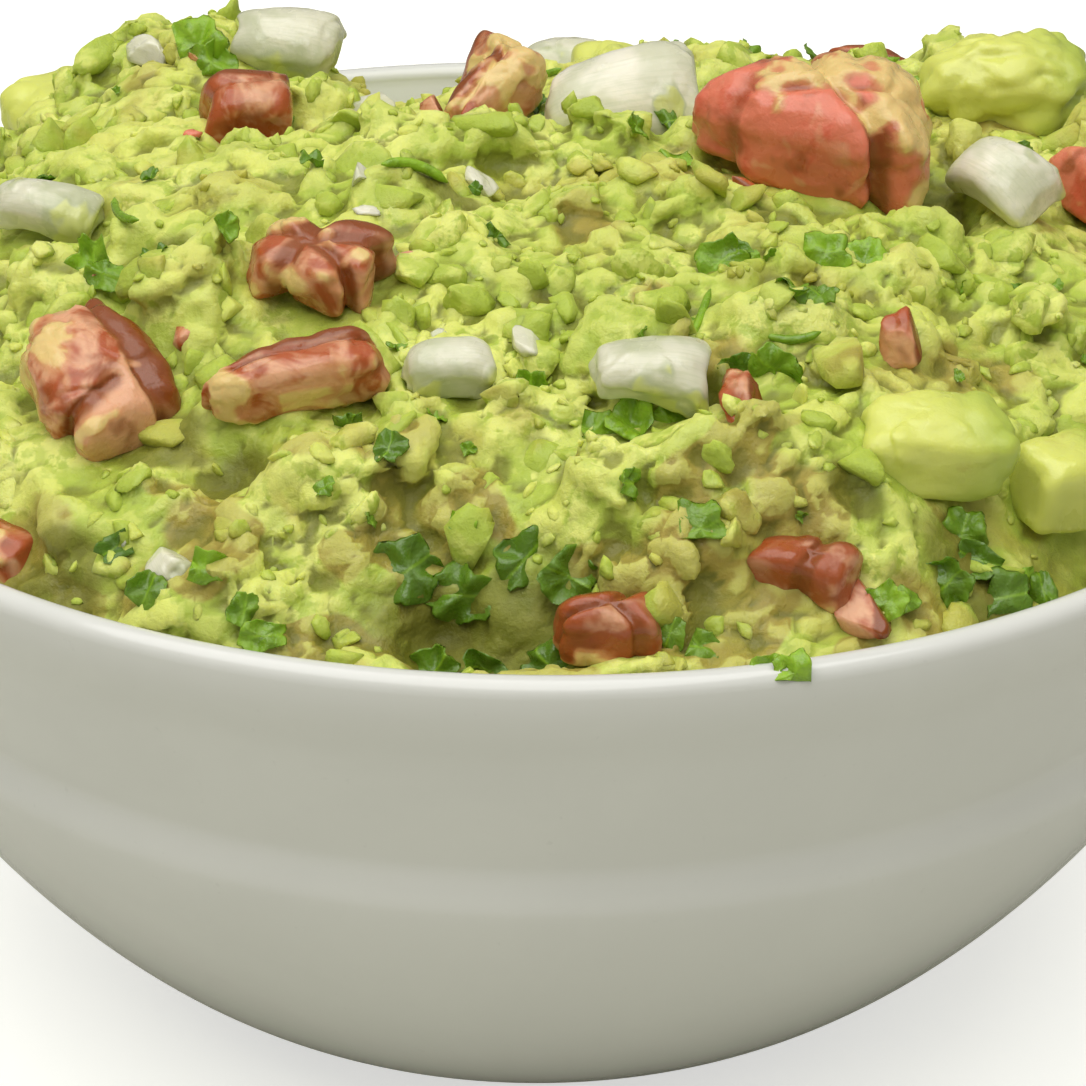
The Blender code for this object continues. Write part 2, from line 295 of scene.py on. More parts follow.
# Mash smeared over a piece: how much, and the side of the piece that it leans to.
SMEARS = {
    "tomato_1": (-0.30, (0.0, 0.0, -0.3)),
    "tomato_2": (0.10, (-0.2, -0.1, 0.1)),
    "tomato_3": (-0.08, (-0.1, -0.3, 0.0)),
    "tomato_4": (-0.04, (-0.3, -0.2, -0.2)),
    "tomato_5": (0.20, (0.3, 0.0, 0.2)),
    "tomato_6": (-0.34, (0.90, 0.40, 0.60)),
    "tomato_7": (-0.50, (0.0, 0.0, 0.0)),
    "tomato_8": (-0.30, (0.0, -0.2, -0.3)),
    "tomato_9": (-0.30, (0.0, -0.2, -0.3)),
    "tomato_15": (0.10, (0.0, -0.9, 0.2)),
    "onion_1": (-0.40, (0.5, -0.2, -0.3)),
    "onion_2": (-0.20, (-0.2, 0.4, -0.3)),
    "onion_5": (0.05, (0.3, 0.0, 0.0)),
    **{f"avocado_{number}": (-2.0, (0.0, 0.0, 0.0)) for number in range(1, 6)},
}
SMEAR = (-0.08, (0.0, -0.25, -0.35))

# Small pieces laid at listed places: x, y, long, wide, deep in millimetres, turn in degrees.
TOMATO_BITS = (
    (31.5, -36.6, 5.2, 3.6, 3.0, 20),
    (17.2, -50.0, 7.4, 3.6, 3.6, -4),
    (26.7, -64.0, 6.6, 4.2, 3.8, -8),
    (-10.5, 8.5, 3.4, 2.6, 2.4, 0),
)
ONION_BITS = (
    (-16.7, 13.8, 5.2, 3.8, 2.4, -10),
    (-5.4, -11.2, 4.4, 3.4, 2.0, 20),
    (-29.4, -60.4, 5.2, 3.6, 2.2, 12),
    (-40.1, 27.0, 4.6, 3.4, 2.0, 30),
    (12.5, -46.8, 4.4, 3.6, 2.0, -20),
    (-1.0, -39.5, 4.0, 2.6, 1.8, 40),
)

# Coriander laid at listed places: x, y, size across in millimetres, turn and tilt in degrees, lightness.
LEAVES = (
    (-34.4, 23.5, 9.0, 30, 60, 0.9),
    (-3.4, 21.5, 8.0, 100, 75, 0.45),
    (-33.0, 22.0, 7.0, 110, 50, 0.6),
    (-39.3, -25.8, 7.6, 60, 50, 0.8),
    (-38.0, -27.5, 6.0, 150, 40, 0.5),
    (-19.4, -39.1, 5.5, 10, 40, 0.1),
    (-16.8, -39.6, 4.5, 80, 50, 0.2),
    (-0.4, -44.4, 5.4, 80, 50, 0.8),
    (5.0, -50.0, 7.6, 20, 50, 0.7),
    (8.0, -49.6, 6.6, 70, 40, 0.9),
    (11.0, -48.6, 6.6, -10, 40, 1.0),
    (12.2, -5.9, 7.0, -50, 40, 0.8),
    (16.3, -27.1, 7.0, 30, 50, 0.6),
    (18.0, -26.0, 5.0, 130, 40, 0.3),
    (25.4, -26.0, 7.0, 10, 40, 0.8),
    (29.0, -24.4, 7.0, 40, 50, 0.9),
    (22.4, -31.0, 4.4, 0, 30, 0.4),
    (19.9, -44.0, 7.0, 60, 70, 0.6),
    (17.0, -44.6, 5.6, 160, 60, 0.1),
    (24.3, -36.2, 5.0, -20, 20, 0.4),
    (-26.7, -64.0, 7.0, 10, 60, 0.9),
    (-21.4, -67.6, 6.0, 10, 60, 0.7),
    (-23.0, -66.4, 5.0, 100, 60, 0.5),
    (-31.0, -63.0, 5.0, 60, 50, 0.3),
    (-10.0, -60.5, 8.0, 40, 60, 0.05),
    (-5.5, -61.5, 8.0, -30, 70, 0.15),
    (-0.5, -60.5, 7.5, 60, 60, 0.1),
    (3.0, -62.5, 7.0, 10, 70, 0.2),
    (-3.5, -65.5, 8.0, 160, 60, 0.1),
    (1.5, -66.0, 7.0, 100, 60, 0.05),
    (-8.0, -65.5, 7.0, 20, 60, 0.25),
    (-6.0, -58.5, 5.0, 0, 50, 0.7),
    (13.4, -62.5, 6.6, 20, 60, 0.5),
    (11.0, -67.5, 5.0, 70, 60, 0.4),
    (35.6, -53.4, 7.0, 70, 70, 0.4),
    (36.8, -55.0, 6.0, 150, 60, 0.1),
    (34.0, -58.5, 6.0, 30, 60, 0.2),
    (39.0, -57.0, 7.4, 30, 60, 0.15),
    (42.5, -54.5, 5.4, 100, 60, 0.2),
    (20.8, -71.8, 5.6, 100, 50, 1.0),
    (18.6, -71.0, 4.4, 30, 50, 0.8),
    (13.3, -67.8, 5.4, 0, 50, 0.4),
    (28.6, -63.5, 5.4, 40, 60, 0.9),
    (30.0, -62.5, 4.0, 140, 60, 0.5),
)

CAMERA_LENS = 117.9
SENSOR = 36.0
CAMERA_REACH = 4.6
CAMERA_ELEVATION = 22.86
CAMERA_PITCH = 26.59
CAMERA_ROLL = 0.66
CAMERA_ASIDE = 0.0108


# --- numbers -------------------------------------------------------------------------------------

EDGES = np.array(
    [(1, 1, 0), (-1, 1, 0), (1, -1, 0), (-1, -1, 0), (1, 0, 1), (-1, 0, 1)]
    + [(1, 0, -1), (-1, 0, -1), (0, 1, 1), (0, -1, 1), (0, 1, -1), (0, -1, -1)],
    float,
)


def lattice_hash(cell, seed):
    """A scattered whole number for each whole-number cell: products with large odd numbers, folded."""
    x, y, z = (cell[:, i].astype(np.uint64) for i in range(3))
    mixed = x * np.uint64(73856093) ^ y * np.uint64(19349663) ^ z * np.uint64(83492791)
    mixed = (mixed ^ np.uint64(seed * 2654435761)) & np.uint64(0xFFFFFFFF)
    mixed = (mixed ^ (mixed >> np.uint64(15))) * np.uint64(2246822519) & np.uint64(0xFFFFFFFF)
    mixed = (mixed ^ (mixed >> np.uint64(13))) * np.uint64(3266489917) & np.uint64(0xFFFFFFFF)
    return mixed ^ (mixed >> np.uint64(16))


def noise(points, size, seed=0):
    """Gradient noise from -1 to 1: each corner of a cell gives the dot product of its own direction
    with the offset from it, and the eight are blended with the fifth-order fade."""
    scaled = points / size + 17.3 * (seed + 1)
    cell = np.floor(scaled).astype(np.int64)
    offset = scaled - cell
    fade = offset**3 * (offset * (offset * 6 - 15) + 10)
    total = np.zeros(len(points))
    for corner in np.ndindex(2, 2, 2):
        step = np.array(corner)
        way = EDGES[(lattice_hash(cell + step, seed) % 12).astype(int)]
        share = np.prod(np.where(step, fade, 1 - fade), axis=1)
        total += share * np.einsum("ij,ij->i", way, offset - step)
    return total * 1.25


def cells(points, size, seed=0):
    """Distance to the nearest of one jittered point a cell, how much further the second is, and a
    value from 0 to 1 that belongs to the nearest."""
    scaled = points / size + 9.1 * (seed + 1)
    cell = np.floor(scaled).astype(np.int64)
    first = np.full(len(points), 9.0)
    second = np.full(len(points), 9.0)
    value = np.zeros(len(points))
    for near in np.ndindex(3, 3, 3):
        there = cell + np.array(near) - 1
        spots = [lattice_hash(there, seed + 31 * k) % 1024 / 1024.0 for k in (1, 2, 3)]
        away = np.linalg.norm(there + np.stack(spots, axis=1) - scaled, axis=1)
        value = np.where(away < first, spots[0] * 7 % 1, value)
        second = np.minimum(second, np.maximum(first, away))
        first = np.minimum(first, away)
    return first, second - first, value


def smooth_step(low, high, value):
    share = np.clip((value - low) / (high - low), 0, 1)
    return share * share * (3 - 2 * share)


def bezier(start, first, second, end, steps):
    """Points of a cubic curve from start to end, both included."""
    t = np.linspace(0.0, 1.0, steps + 1)[:, None]
    a, b, c, d = (np.array(p, float) for p in (start, first, second, end))
    return a * (1 - t) ** 3 + 3 * b * t * (1 - t) ** 2 + 3 * c * t * t * (1 - t) + d * t**3


def signed_power(value, power):
    return np.sign(value) * np.abs(value) ** power


def box_blur(field, reach):
    """Mean over a square of the grid, from running sums, with the border repeated outwards."""
    for axis in (0, 1):
        width = [(0, 0), (0, 0)]
        width[axis] = (reach + 1, reach)
        sums = np.cumsum(np.pad(field, width, mode="edge"), axis=axis)
        ahead = sums.take(range(2 * reach + 1, sums.shape[axis]), axis=axis)
        behind = sums.take(range(0, sums.shape[axis] - 2 * reach - 1), axis=axis)
        field = (ahead - behind) / (2 * reach + 1)
    return field


# --- meshes --------------------------------------------------------------------------------------


def strip_faces(rows, around, closed=True):
    """Quads between neighbouring rows of a grid whose rows are closed rings unless told otherwise."""
    columns = around if closed else around - 1
    row, column = np.meshgrid(np.arange(rows - 1), np.arange(columns), indexing="ij")
    low = (row * around + column).ravel()
    low_next = (row * around + (column + 1) % around).ravel()
    return np.stack([low, low_next, low_next + around, low + around], axis=1)


def ball_faces(rows, around):
    """Quads and end triangles of rings between a first point and a last point."""
    quads = strip_faces(rows, around) + 1
    step = np.arange(around)
    after = (step + 1) % around
    last = 1 + (rows - 1) * around
    start = np.stack([np.zeros(around, int), 1 + after, 1 + step], axis=1)
    end = np.stack([last + step, last + after, np.full(around, last + around)], axis=1)
    return quads, np.vstack([start, end])


def copies(faces, count, size):
    """The same faces for count copies of size points each."""
    shift = np.arange(count)[:, None, None] * size
    return (faces[None] + shift).reshape(-1, faces.shape[1])


def mesh_of(name, points, quads, triangles):
    """A mesh from points in millimetres."""
    mesh = bpy.data.meshes.new(name)
    corners = np.concatenate([np.ravel(quads), np.ravel(triangles)]).astype(np.int32)
    quad_start = np.arange(len(quads)) * 4
    triangle_start = len(quads) * 4 + np.arange(len(triangles)) * 3
    mesh.vertices.add(len(points))
    mesh.vertices.foreach_set("co", (np.asarray(points) * MM).astype(np.float32).ravel())
    mesh.loops.add(len(corners))
    mesh.loops.foreach_set("vertex_index", corners)
    mesh.polygons.add(len(quads) + len(triangles))
    mesh.polygons.foreach_set("loop_start", np.concatenate([quad_start, triangle_start]).astype(np.int32))
    mesh.update(calc_edges=True)
    mesh.shade_smooth()
    return mesh


def add_piece(name, points, quads, triangles, finish, slot, fields=None):
    """One riding object, with named values stored on its points."""
    mesh = mesh_of(name, points, quads, triangles)
    for label, values in (fields or {}).items():
        kind, key = ("FLOAT_VECTOR", "vector") if np.ndim(values) == 2 else ("FLOAT", "value")
        padded = np.zeros((len(points), *np.shape(values)[1:]), np.float32)
        padded[: len(values)] = values
        made = mesh.attributes.new(label, kind, "POINT")
        made.data.foreach_set(key, padded.ravel())
    mesh.materials.append(finish)
    piece = bpy.data.objects.new(name, mesh)
    bpy.context.scene.collection.objects.link(piece)
    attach(piece, BODY)
    return piece


# --- shader trees --------------------------------------------------------------------------------


class Tree:
    """Adds nodes to one node tree: a socket given as a node output is linked, anything else is set."""

    def __init__(self, tree):
        self.tree = tree

    def add(self, kind, sockets=None, **settings):
        node = self.tree.nodes.new(kind)
        for key, value in settings.items():
            setattr(node, key, value)
        for key, value in (sockets or {}).items():
            self.put(node.inputs[key], value)
        return node

    def put(self, socket, value):
        if isinstance(value, bpy.types.NodeSocket):
            self.tree.links.new(value, socket)
        else:
            socket.default_value = value

    def math(self, operation, *values, clamp=False):
        node = self.add("ShaderNodeMath", operation=operation, use_clamp=clamp)
        for index, value in enumerate(values):
            self.put(node.inputs[index], value)
        return node.outputs[0]

    def mix(self, share, first, second):
        node = self.add("ShaderNodeMix", data_type="RGBA")
        for index, value in ((0, share), (6, first), (7, second)):
            self.put(node.inputs[index], value)
        return node.outputs[2]

    def ramp(self, value, low, high):
        """A smooth 0 to 1 as value goes from low to high."""
        sockets = {"Value": value, "From Min": low, "From Max": high}
        node = self.add("ShaderNodeMapRange", sockets, interpolation_type="SMOOTHSTEP")
        return node.outputs[0]

    def noise(self, coordinates, scale, detail=3.0, roughness=0.55, distortion=0.0):
        sockets = {"Vector": coordinates, "Scale": scale, "Detail": detail}
        node = self.add("ShaderNodeTexNoise", sockets)
        node.inputs["Roughness"].default_value = roughness
        node.inputs["Distortion"].default_value = distortion
        return node.outputs["Fac"]

    def attribute(self, name, output="Fac"):
        return self.add("ShaderNodeAttribute", attribute_name=name).outputs[output]


def new_material(name):
    made = bpy.data.materials.new(name)
    made.use_nodes = True
    shader = made.node_tree.nodes["Principled BSDF"]
    return made, Tree(made.node_tree), shader


def object_coordinates(tree):
    return tree.add("ShaderNodeTexCoord").outputs["Object"]


def color4(color):
    return (*color, 1.0)


def new_group(name, inputs, outputs):
    """A shader node group with its sockets: inputs are (name, kind, default), outputs (name, kind)."""
    group = bpy.data.node_groups.new(name, "ShaderNodeTree")
    for label, kind, default in inputs:
        socket = group.interface.new_socket(label, in_out="INPUT", socket_type="NodeSocket" + kind)
        if default is not None:
            socket.default_value = default
    for label, kind in outputs:
        group.interface.new_socket(label, in_out="OUTPUT", socket_type="NodeSocket" + kind)
    tree = Tree(group)
    return group, tree, tree.add("NodeGroupInput").outputs, tree.add("NodeGroupOutput").inputs


def mottle_group():
    """Three colours laid over each other in soft patches of two sizes."""
    found = bpy.data.node_groups.get("Soft Mottle")
    if found:
        return found
    group, tree, given, out = new_group(
        "Soft Mottle",
        (
            ("Vector", "Vector", None),
            ("Base", "Color", (0.5, 0.5, 0.5, 1)),
            ("Patch", "Color", (0.5, 0.5, 0.5, 1)),
            ("Fleck", "Color", (0.5, 0.5, 0.5, 1)),
            ("Patch Scale", "Float", 100.0),
            ("Fleck Scale", "Float", 600.0),
            ("Patch Share", "Float", 0.5),
            ("Fleck Share", "Float", 0.3),
        ),
        (("Color", "Color"), ("Mask", "Float")),
    )
    patch = tree.noise(given["Vector"], given["Patch Scale"], 4.0, 0.6, 0.6)
    fleck = tree.noise(given["Vector"], given["Fleck Scale"], 3.0, 0.6, 0.3)
    patch_edge = tree.math("SUBTRACT", 0.8, tree.math("MULTIPLY", given["Patch Share"], 0.6))
    fleck_edge = tree.math("SUBTRACT", 0.8, tree.math("MULTIPLY", given["Fleck Share"], 0.6))
    patch_mask = tree.ramp(tree.math("SUBTRACT", patch, patch_edge), -0.08, 0.10)
    fleck_mask = tree.ramp(tree.math("SUBTRACT", fleck, fleck_edge), -0.04, 0.06)
    first = tree.mix(patch_mask, given["Base"], given["Patch"])
    tree.put(out["Color"], tree.mix(fleck_mask, first, given["Fleck"]))
    tree.put(out["Mask"], patch_mask)
    return group


def wet_group():
    """Uneven moisture: a roughness between two values and a fine bumpy normal."""
    found = bpy.data.node_groups.get("Wet Surface")
    if found:
        return found
    group, tree, given, out = new_group(
        "Wet Surface",
        (
            ("Vector", "Vector", None),
            ("Wet Roughness", "Float", 0.15),
            ("Dry Roughness", "Float", 0.5),
            ("Scale", "Float", 300.0),
            ("Bump Scale", "Float", 1500.0),
            ("Bump Height", "Float", 0.1),
        ),
        (("Roughness", "Float"), ("Normal", "Vector"), ("Wet", "Float")),
    )
    damp = tree.ramp(tree.noise(given["Vector"], given["Scale"], 3.0), 0.40, 0.62)
    spread = tree.math("SUBTRACT", given["Wet Roughness"], given["Dry Roughness"])
    rough = tree.math("MULTIPLY_ADD", damp, spread, given["Dry Roughness"])
    grain = tree.noise(given["Vector"], given["Bump Scale"], 3.0, 0.6, 0.2)
    height = tree.math("MULTIPLY", tree.math("MULTIPLY", grain, given["Bump Height"]), MM)
    bump = tree.add("ShaderNodeBump", {"Height": height, "Strength": 1.0, "Distance": 1.0})
    tree.put(out["Roughness"], rough)
    tree.put(out["Normal"], bump.outputs["Normal"])
    tree.put(out["Wet"], damp)
    return group


def place_group(tree, group, sockets):
    node = tree.add("ShaderNodeGroup")
    node.node_tree = group
    for key, value in sockets.items():
        tree.put(node.inputs[key], value)
    return node.outputs


def set_constants(shader, **values):
    """Values that are the same all over, on the shader's own sockets."""
    for key, value in values.items():
        shader.inputs[key.replace("_", " ")].default_value = value


# --- materials -----------------------------------------------------------------------------------


def glaze_material(settings):
    """White glaze: faintly warm and uneven, glossy, with a slow waviness in its shine."""
    made, tree, shader = new_material("white_glaze")
    place = object_coordinates(tree)
    mottle = place_group(
        tree,
        mottle_group(),
        {
            "Vector": place,
            "Base": color4(settings.glaze_color),
            "Patch": color4([c * 0.97 for c in settings.glaze_color]),
            "Fleck": color4([c * 0.94 for c in settings.glaze_color]),
            "Patch Scale": 22.0,
            "Fleck Scale": 900.0,
            "Patch Share": 0.5,
            "Fleck Share": 0.16,
        },
    )
    wet = place_group(
        tree,
        wet_group(),
        {
            "Vector": place,
            "Wet Roughness": 0.10,
            "Dry Roughness": 0.20,
            "Scale": 30.0,
            "Bump Scale": 45.0,
            "Bump Height": 0.03,
        },
    )
    tree.put(shader.inputs["Base Color"], mottle["Color"])
    tree.put(shader.inputs["Roughness"], wet["Roughness"])
    tree.put(shader.inputs["Normal"], wet["Normal"])
    set_constants(shader, Coat_Weight=0.3, Coat_Roughness=0.06, IOR=1.45)
    return made


def mash_material(name, settings, light=1.0, relief=True):
    """Crushed avocado: painted light making the crests pale, green below, olive and brown where it has turned,
    brown that is partly painted shade near the front wall, and painted shade in low places, hollows and gaps.
    """
    made, tree, shader = new_material(name)
    place = object_coordinates(tree)
    pale, green, olive = (
        color4([c * light for c in color])
        for color in (settings.pale_color, settings.green_color, settings.olive_color)
    )
    mottle = place_group(
        tree,
        mottle_group(),
        {
            "Vector": place,
            "Base": pale,
            "Patch": green,
            "Fleck": green,
            "Patch Scale": 95.0,
            "Fleck Scale": 520.0,
            "Patch Share": 0.55,
            "Fleck Share": 0.45,
        },
    )
    tone = tree.attribute("tone")
    color = tree.mix(tree.ramp(tone, 0.45, 0.0), mottle["Color"], green)
    butter = tree.ramp(tone, 0.72, 0.95)
    color = tree.mix(tree.math("MULTIPLY", butter, 0.7), color, color4(settings.butter_color))
    turned = tree.ramp(tree.noise(place, 62.0, 3.0, 0.55, 0.8), 0.53, 0.67)
    color = tree.mix(tree.math("MULTIPLY", turned, 0.75), color, olive)
    brown = tree.ramp(tree.noise(place, 120.0, 2.0, 0.5, 0.4), 0.62, 0.74)
    color = tree.mix(tree.math("MULTIPLY", brown, 0.7), color, color4(settings.brown_color))
    if relief:
        edge = tree.math("MULTIPLY", tree.noise(place, 260.0, 3.0), 0.5)
        # Browned patches, and near the front wall patches that are partly painted shade.
        spot = tree.ramp(tree.math("SUBTRACT", tree.attribute("browned_and_shaded"), edge), 0.06, 0.40)
        color = tree.mix(tree.math("MULTIPLY", spot, 0.85), color, color4(settings.brown_color))
        # Painted shade: mash lying below the tops around is darkened towards the low shade colour.
        below = tree.ramp(tree.attribute("relief"), 0.45, 0.05)
        color = tree.mix(tree.math("MULTIPLY", below, 0.6), color, color4(settings.painted_low_shade_color))
        # Painted light: points standing above their surroundings are made paler.
        crest = tree.ramp(tree.attribute("hollow"), 0.50, 0.36)
        color = tree.mix(tree.math("MULTIPLY", crest, 0.45), color, pale)
        # Painted shade: points lying below their surroundings are darkened towards the hollow shade colour.
        hollow = tree.ramp(tree.attribute("hollow"), 0.51, 0.74)
        color = tree.mix(tree.math("MULTIPLY", hollow, 0.7), color, color4(settings.painted_hollow_shade_color))
        # Painted shade in the listed gaps between pieces.
        gap = tree.ramp(tree.math("SUBTRACT", tree.attribute("darkened"), edge), 0.05, 0.42)
        color = tree.mix(tree.math("MULTIPLY", gap, 0.8), color, color4(settings.painted_hollow_shade_color))
    wet = place_group(
        tree,
        wet_group(),
        {
            "Vector": place,
            "Wet Roughness": 0.40,
            "Dry Roughness": 0.72,
            "Scale": 260.0,
            "Bump Scale": 1300.0,
            "Bump Height": 0.22,
        },
    )
    tree.put(shader.inputs["Base Color"], color)
    tree.put(shader.inputs["Roughness"], wet["Roughness"])
    tree.put(shader.inputs["Normal"], wet["Normal"])
    set_constants(
        shader,
        Subsurface_Weight=0.35,
        Subsurface_Radius=(1.0, 0.9, 0.25),
        Subsurface_Scale=0.0012,
        Specular_IOR_Level=0.35,
        Coat_Weight=0.05,
        Coat_Roughness=0.3,
    )
    return made


def smeared(tree, color, thin, thick):
    """Mash wiped over a piece, tinted where it is thin."""
    film = tree.attribute("smear")
    color = tree.mix(tree.math("MULTIPLY", tree.ramp(film, 0.05, 0.6), 0.75), color, color4(thin))
    return tree.mix(tree.math("MULTIPLY", tree.ramp(film, 0.55, 1.0), 0.8), color, color4(thick))


def tomato_material(settings):
    """Cut tomato: dark red skin on one side, paler flesh inside with whitish veins, and painted shade darkening
    its grooves.
    """
    made, tree, shader = new_material("tomato_surface")
    place = object_coordinates(tree)
    local = tree.attribute("local", "Vector")
    axes = tree.add("ShaderNodeSeparateXYZ", {"Vector": local}).outputs
    skin = tree.ramp(tree.math("ADD", axes["Y"], tree.math("MULTIPLY", axes["Z"], 0.3)), 0.55, 0.8)
    tone = tree.attribute("tone")
    pale = tree.math("MULTIPLY_ADD", tone, 0.30, tree.math("MULTIPLY", axes["X"], 0.06))
    heart = tree.ramp(tree.math("ADD", tree.noise(place, 210.0, 3.0, 0.55, 0.9), pale), 0.58, 0.76)
    flesh = tree.mix(heart, color4(settings.tomato_color), color4(settings.tomato_pale_color))
    fresh = tree.math("MULTIPLY", tree.ramp(tone, 0.75, 1.0), 0.7)
    flesh = tree.mix(fresh, flesh, color4(settings.tomato_fresh_color))
    dull = tree.math("MULTIPLY", tree.ramp(tone, 0.25, 0.0), 0.4)
    flesh = tree.mix(dull, flesh, color4(settings.tomato_skin_and_groove_shade_color))
    vein_noise = tree.noise(place, 190.0, 2.0, 0.5, 1.2)
    vein = tree.ramp(tree.math("SUBTRACT", vein_noise, 0.58), 0.0, 0.10)
    flesh = tree.mix(tree.math("MULTIPLY", vein, 0.35), flesh, color4(settings.tomato_vein_color))
    dark = tree.ramp(tree.noise(place, 260.0, 2.0), 0.56, 0.72)
    flesh = tree.mix(tree.math("MULTIPLY", dark, 0.65), flesh, color4(settings.tomato_skin_and_groove_shade_color))
    color = tree.mix(skin, flesh, color4(settings.tomato_skin_and_groove_shade_color))
    # Painted shade: the grooves are darkened towards the skin colour.
    groove = tree.ramp(tree.attribute("groove"), 0.04, 0.14)
    color = tree.mix(tree.math("MULTIPLY", groove, 0.85), color, color4(settings.tomato_skin_and_groove_shade_color))
    color = smeared(tree, color, settings.smear_thin_color, settings.smear_thick_color)
    wet = place_group(
        tree,
        wet_group(),
        {
            "Vector": place,
            "Wet Roughness": 0.20,
            "Dry Roughness": 0.48,
            "Scale": 320.0,
            "Bump Scale": 800.0,
            "Bump Height": 0.16,
        },
    )
    tree.put(shader.inputs["Base Color"], color)
    tree.put(shader.inputs["Roughness"], wet["Roughness"])
    tree.put(shader.inputs["Normal"], wet["Normal"])
    set_constants(
        shader,
        Subsurface_Weight=0.15,
        Subsurface_Radius=(1.0, 0.25, 0.15),
        Subsurface_Scale=0.0007,
        Specular_IOR_Level=0.35,
        Coat_Weight=0.3,
        Coat_Roughness=0.12,
    )
    return made


def onion_material(settings):
    """White onion: pale and juicy, with fine lines along the petal and greyer, greener patches."""
    made, tree, shader = new_material("onion_surface")
    place = object_coordinates(tree)
    local = tree.attribute("local", "Vector")
    lines = tree.add("ShaderNodeMapping", {"Vector": local, "Scale": (0.6, 7.0, 1.5)}).outputs[0]
    streak = tree.ramp(tree.noise(lines, 2.2, 2.0, 0.5), 0.50, 0.66)
    patch = tree.ramp(tree.noise(place, 150.0, 3.0, 0.55, 0.5), 0.42, 0.62)
    glassy = tree.math("MULTIPLY_ADD", tree.attribute("tone"), -0.35, tree.math("MULTIPLY_ADD", patch, 0.5, 0.35))
    color = tree.mix(glassy, color4(settings.onion_color), color4(settings.onion_grey_color))
    color = tree.mix(tree.math("MULTIPLY", streak, 0.22), color, color4(settings.onion_line_color))
    color = smeared(tree, color, settings.onion_grey_color, settings.smear_color)
    wet = place_group(
        tree,
        wet_group(),
        {
            "Vector": place,
            "Wet Roughness": 0.18,
            "Dry Roughness": 0.42,
            "Scale": 240.0,
            "Bump Scale": 700.0,
            "Bump Height": 0.10,
        },
    )
    tree.put(shader.inputs["Base Color"], color)
    tree.put(shader.inputs["Roughness"], wet["Roughness"])
    tree.put(shader.inputs["Normal"], wet["Normal"])
    set_constants(
        shader,
        Subsurface_Weight=0.5,
        Subsurface_Radius=(1.0, 1.0, 0.8),
        Subsurface_Scale=0.0009,
        Coat_Weight=0.4,
        Coat_Roughness=0.15,
    )
    return made


def avocado_material(settings):
    """A whole lump of avocado: yellow on the stone side, green towards the skin side."""
    made, tree, shader = new_material("avocado_surface")
    place = object_coordinates(tree)
    axes = tree.add("ShaderNodeSeparateXYZ", {"Vector": tree.attribute("local", "Vector")}).outputs
    side = tree.math("ADD", axes["X"], tree.math("MULTIPLY", tree.noise(place, 140.0, 2.0), 0.8))
    color = tree.mix(tree.ramp(side, 0.2, 1.4), color4(settings.butter_color), color4(settings.green_color))
    bruise = tree.ramp(tree.noise(place, 170.0, 3.0, 0.55, 0.6), 0.60, 0.74)
    color = tree.mix(tree.math("MULTIPLY", bruise, 0.6), color, color4(settings.olive_color))
    wet = place_group(
        tree,
        wet_group(),
        {
            "Vector": place,
            "Wet Roughness": 0.26,
            "Dry Roughness": 0.5,
            "Scale": 200.0,
            "Bump Scale": 900.0,
            "Bump Height": 0.10,
        },
    )
    tree.put(shader.inputs["Base Color"], color)
    tree.put(shader.inputs["Roughness"], wet["Roughness"])
    tree.put(shader.inputs["Normal"], wet["Normal"])
    set_constants(
        shader,
        Subsurface_Weight=0.35,
        Subsurface_Radius=(1.0, 0.9, 0.25),
        Subsurface_Scale=0.0018,
        Coat_Weight=0.2,
        Coat_Roughness=0.25,
    )
    return made


def herb_material(settings):
    """Coriander leaf: deep green to light green from piece to piece, with a lighter midrib."""
    made, tree, shader = new_material("leaf_surface")
    place = object_coordinates(tree)
    tone = tree.attribute("tone")
    axes = tree.add("ShaderNodeSeparateXYZ", {"Vector": tree.attribute("local", "Vector")}).outputs
    color = tree.mix(tone, color4(settings.leaf_dark_color), color4(settings.leaf_light_color))
    patch = tree.ramp(tree.noise(place, 420.0, 3.0), 0.42, 0.62)
    color = tree.mix(tree.math("MULTIPLY", patch, 0.45), color, color4(settings.leaf_dark_color))
    rib = tree.ramp(tree.math("ABSOLUTE", axes["Y"]), 0.07, 0.0)
    color = tree.mix(tree.math("MULTIPLY", rib, 0.5), color, color4(settings.leaf_light_color))
    wet = place_group(
        tree,
        wet_group(),
        {
            "Vector": place,
            "Wet Roughness": 0.22,
            "Dry Roughness": 0.48,
            "Scale": 420.0,
            "Bump Scale": 1700.0,
            "Bump Height": 0.16,
        },
    )
    tree.put(shader.inputs["Base Color"], color)
    tree.put(shader.inputs["Roughness"], wet["Roughness"])
    tree.put(shader.inputs["Normal"], wet["Normal"])
    set_constants(
        shader,
        Subsurface_Weight=0.15,
        Subsurface_Radius=(0.5, 1.0, 0.2),
        Subsurface_Scale=0.0005,
        Coat_Weight=0.05,
        Coat_Roughness=0.2,
    )
    return made


def floor_material(settings):
    made, tree, shader = new_material("pale_floor")
    place = object_coordinates(tree)
    share = tree.ramp(tree.noise(place, 4.0, 2.0), 0.3, 0.7)
    pale = color4(settings.floor_color)
    color = tree.mix(share, pale, color4([c * 0.99 for c in settings.floor_color]))
    tree.put(shader.inputs["Base Color"], color)
    seen = tree.add("ShaderNodeLightPath").outputs["Is Camera Ray"]
    tree.put(shader.inputs["Emission Strength"], tree.math("MULTIPLY", seen, settings.floor_glow))
    set_constants(shader, Roughness=0.7, Specular_IOR_Level=0.2, Emission_Color=(1.0, 1.0, 1.0, 1.0))
    return made


# --- shapes --------------------------------------------------------------------------------------


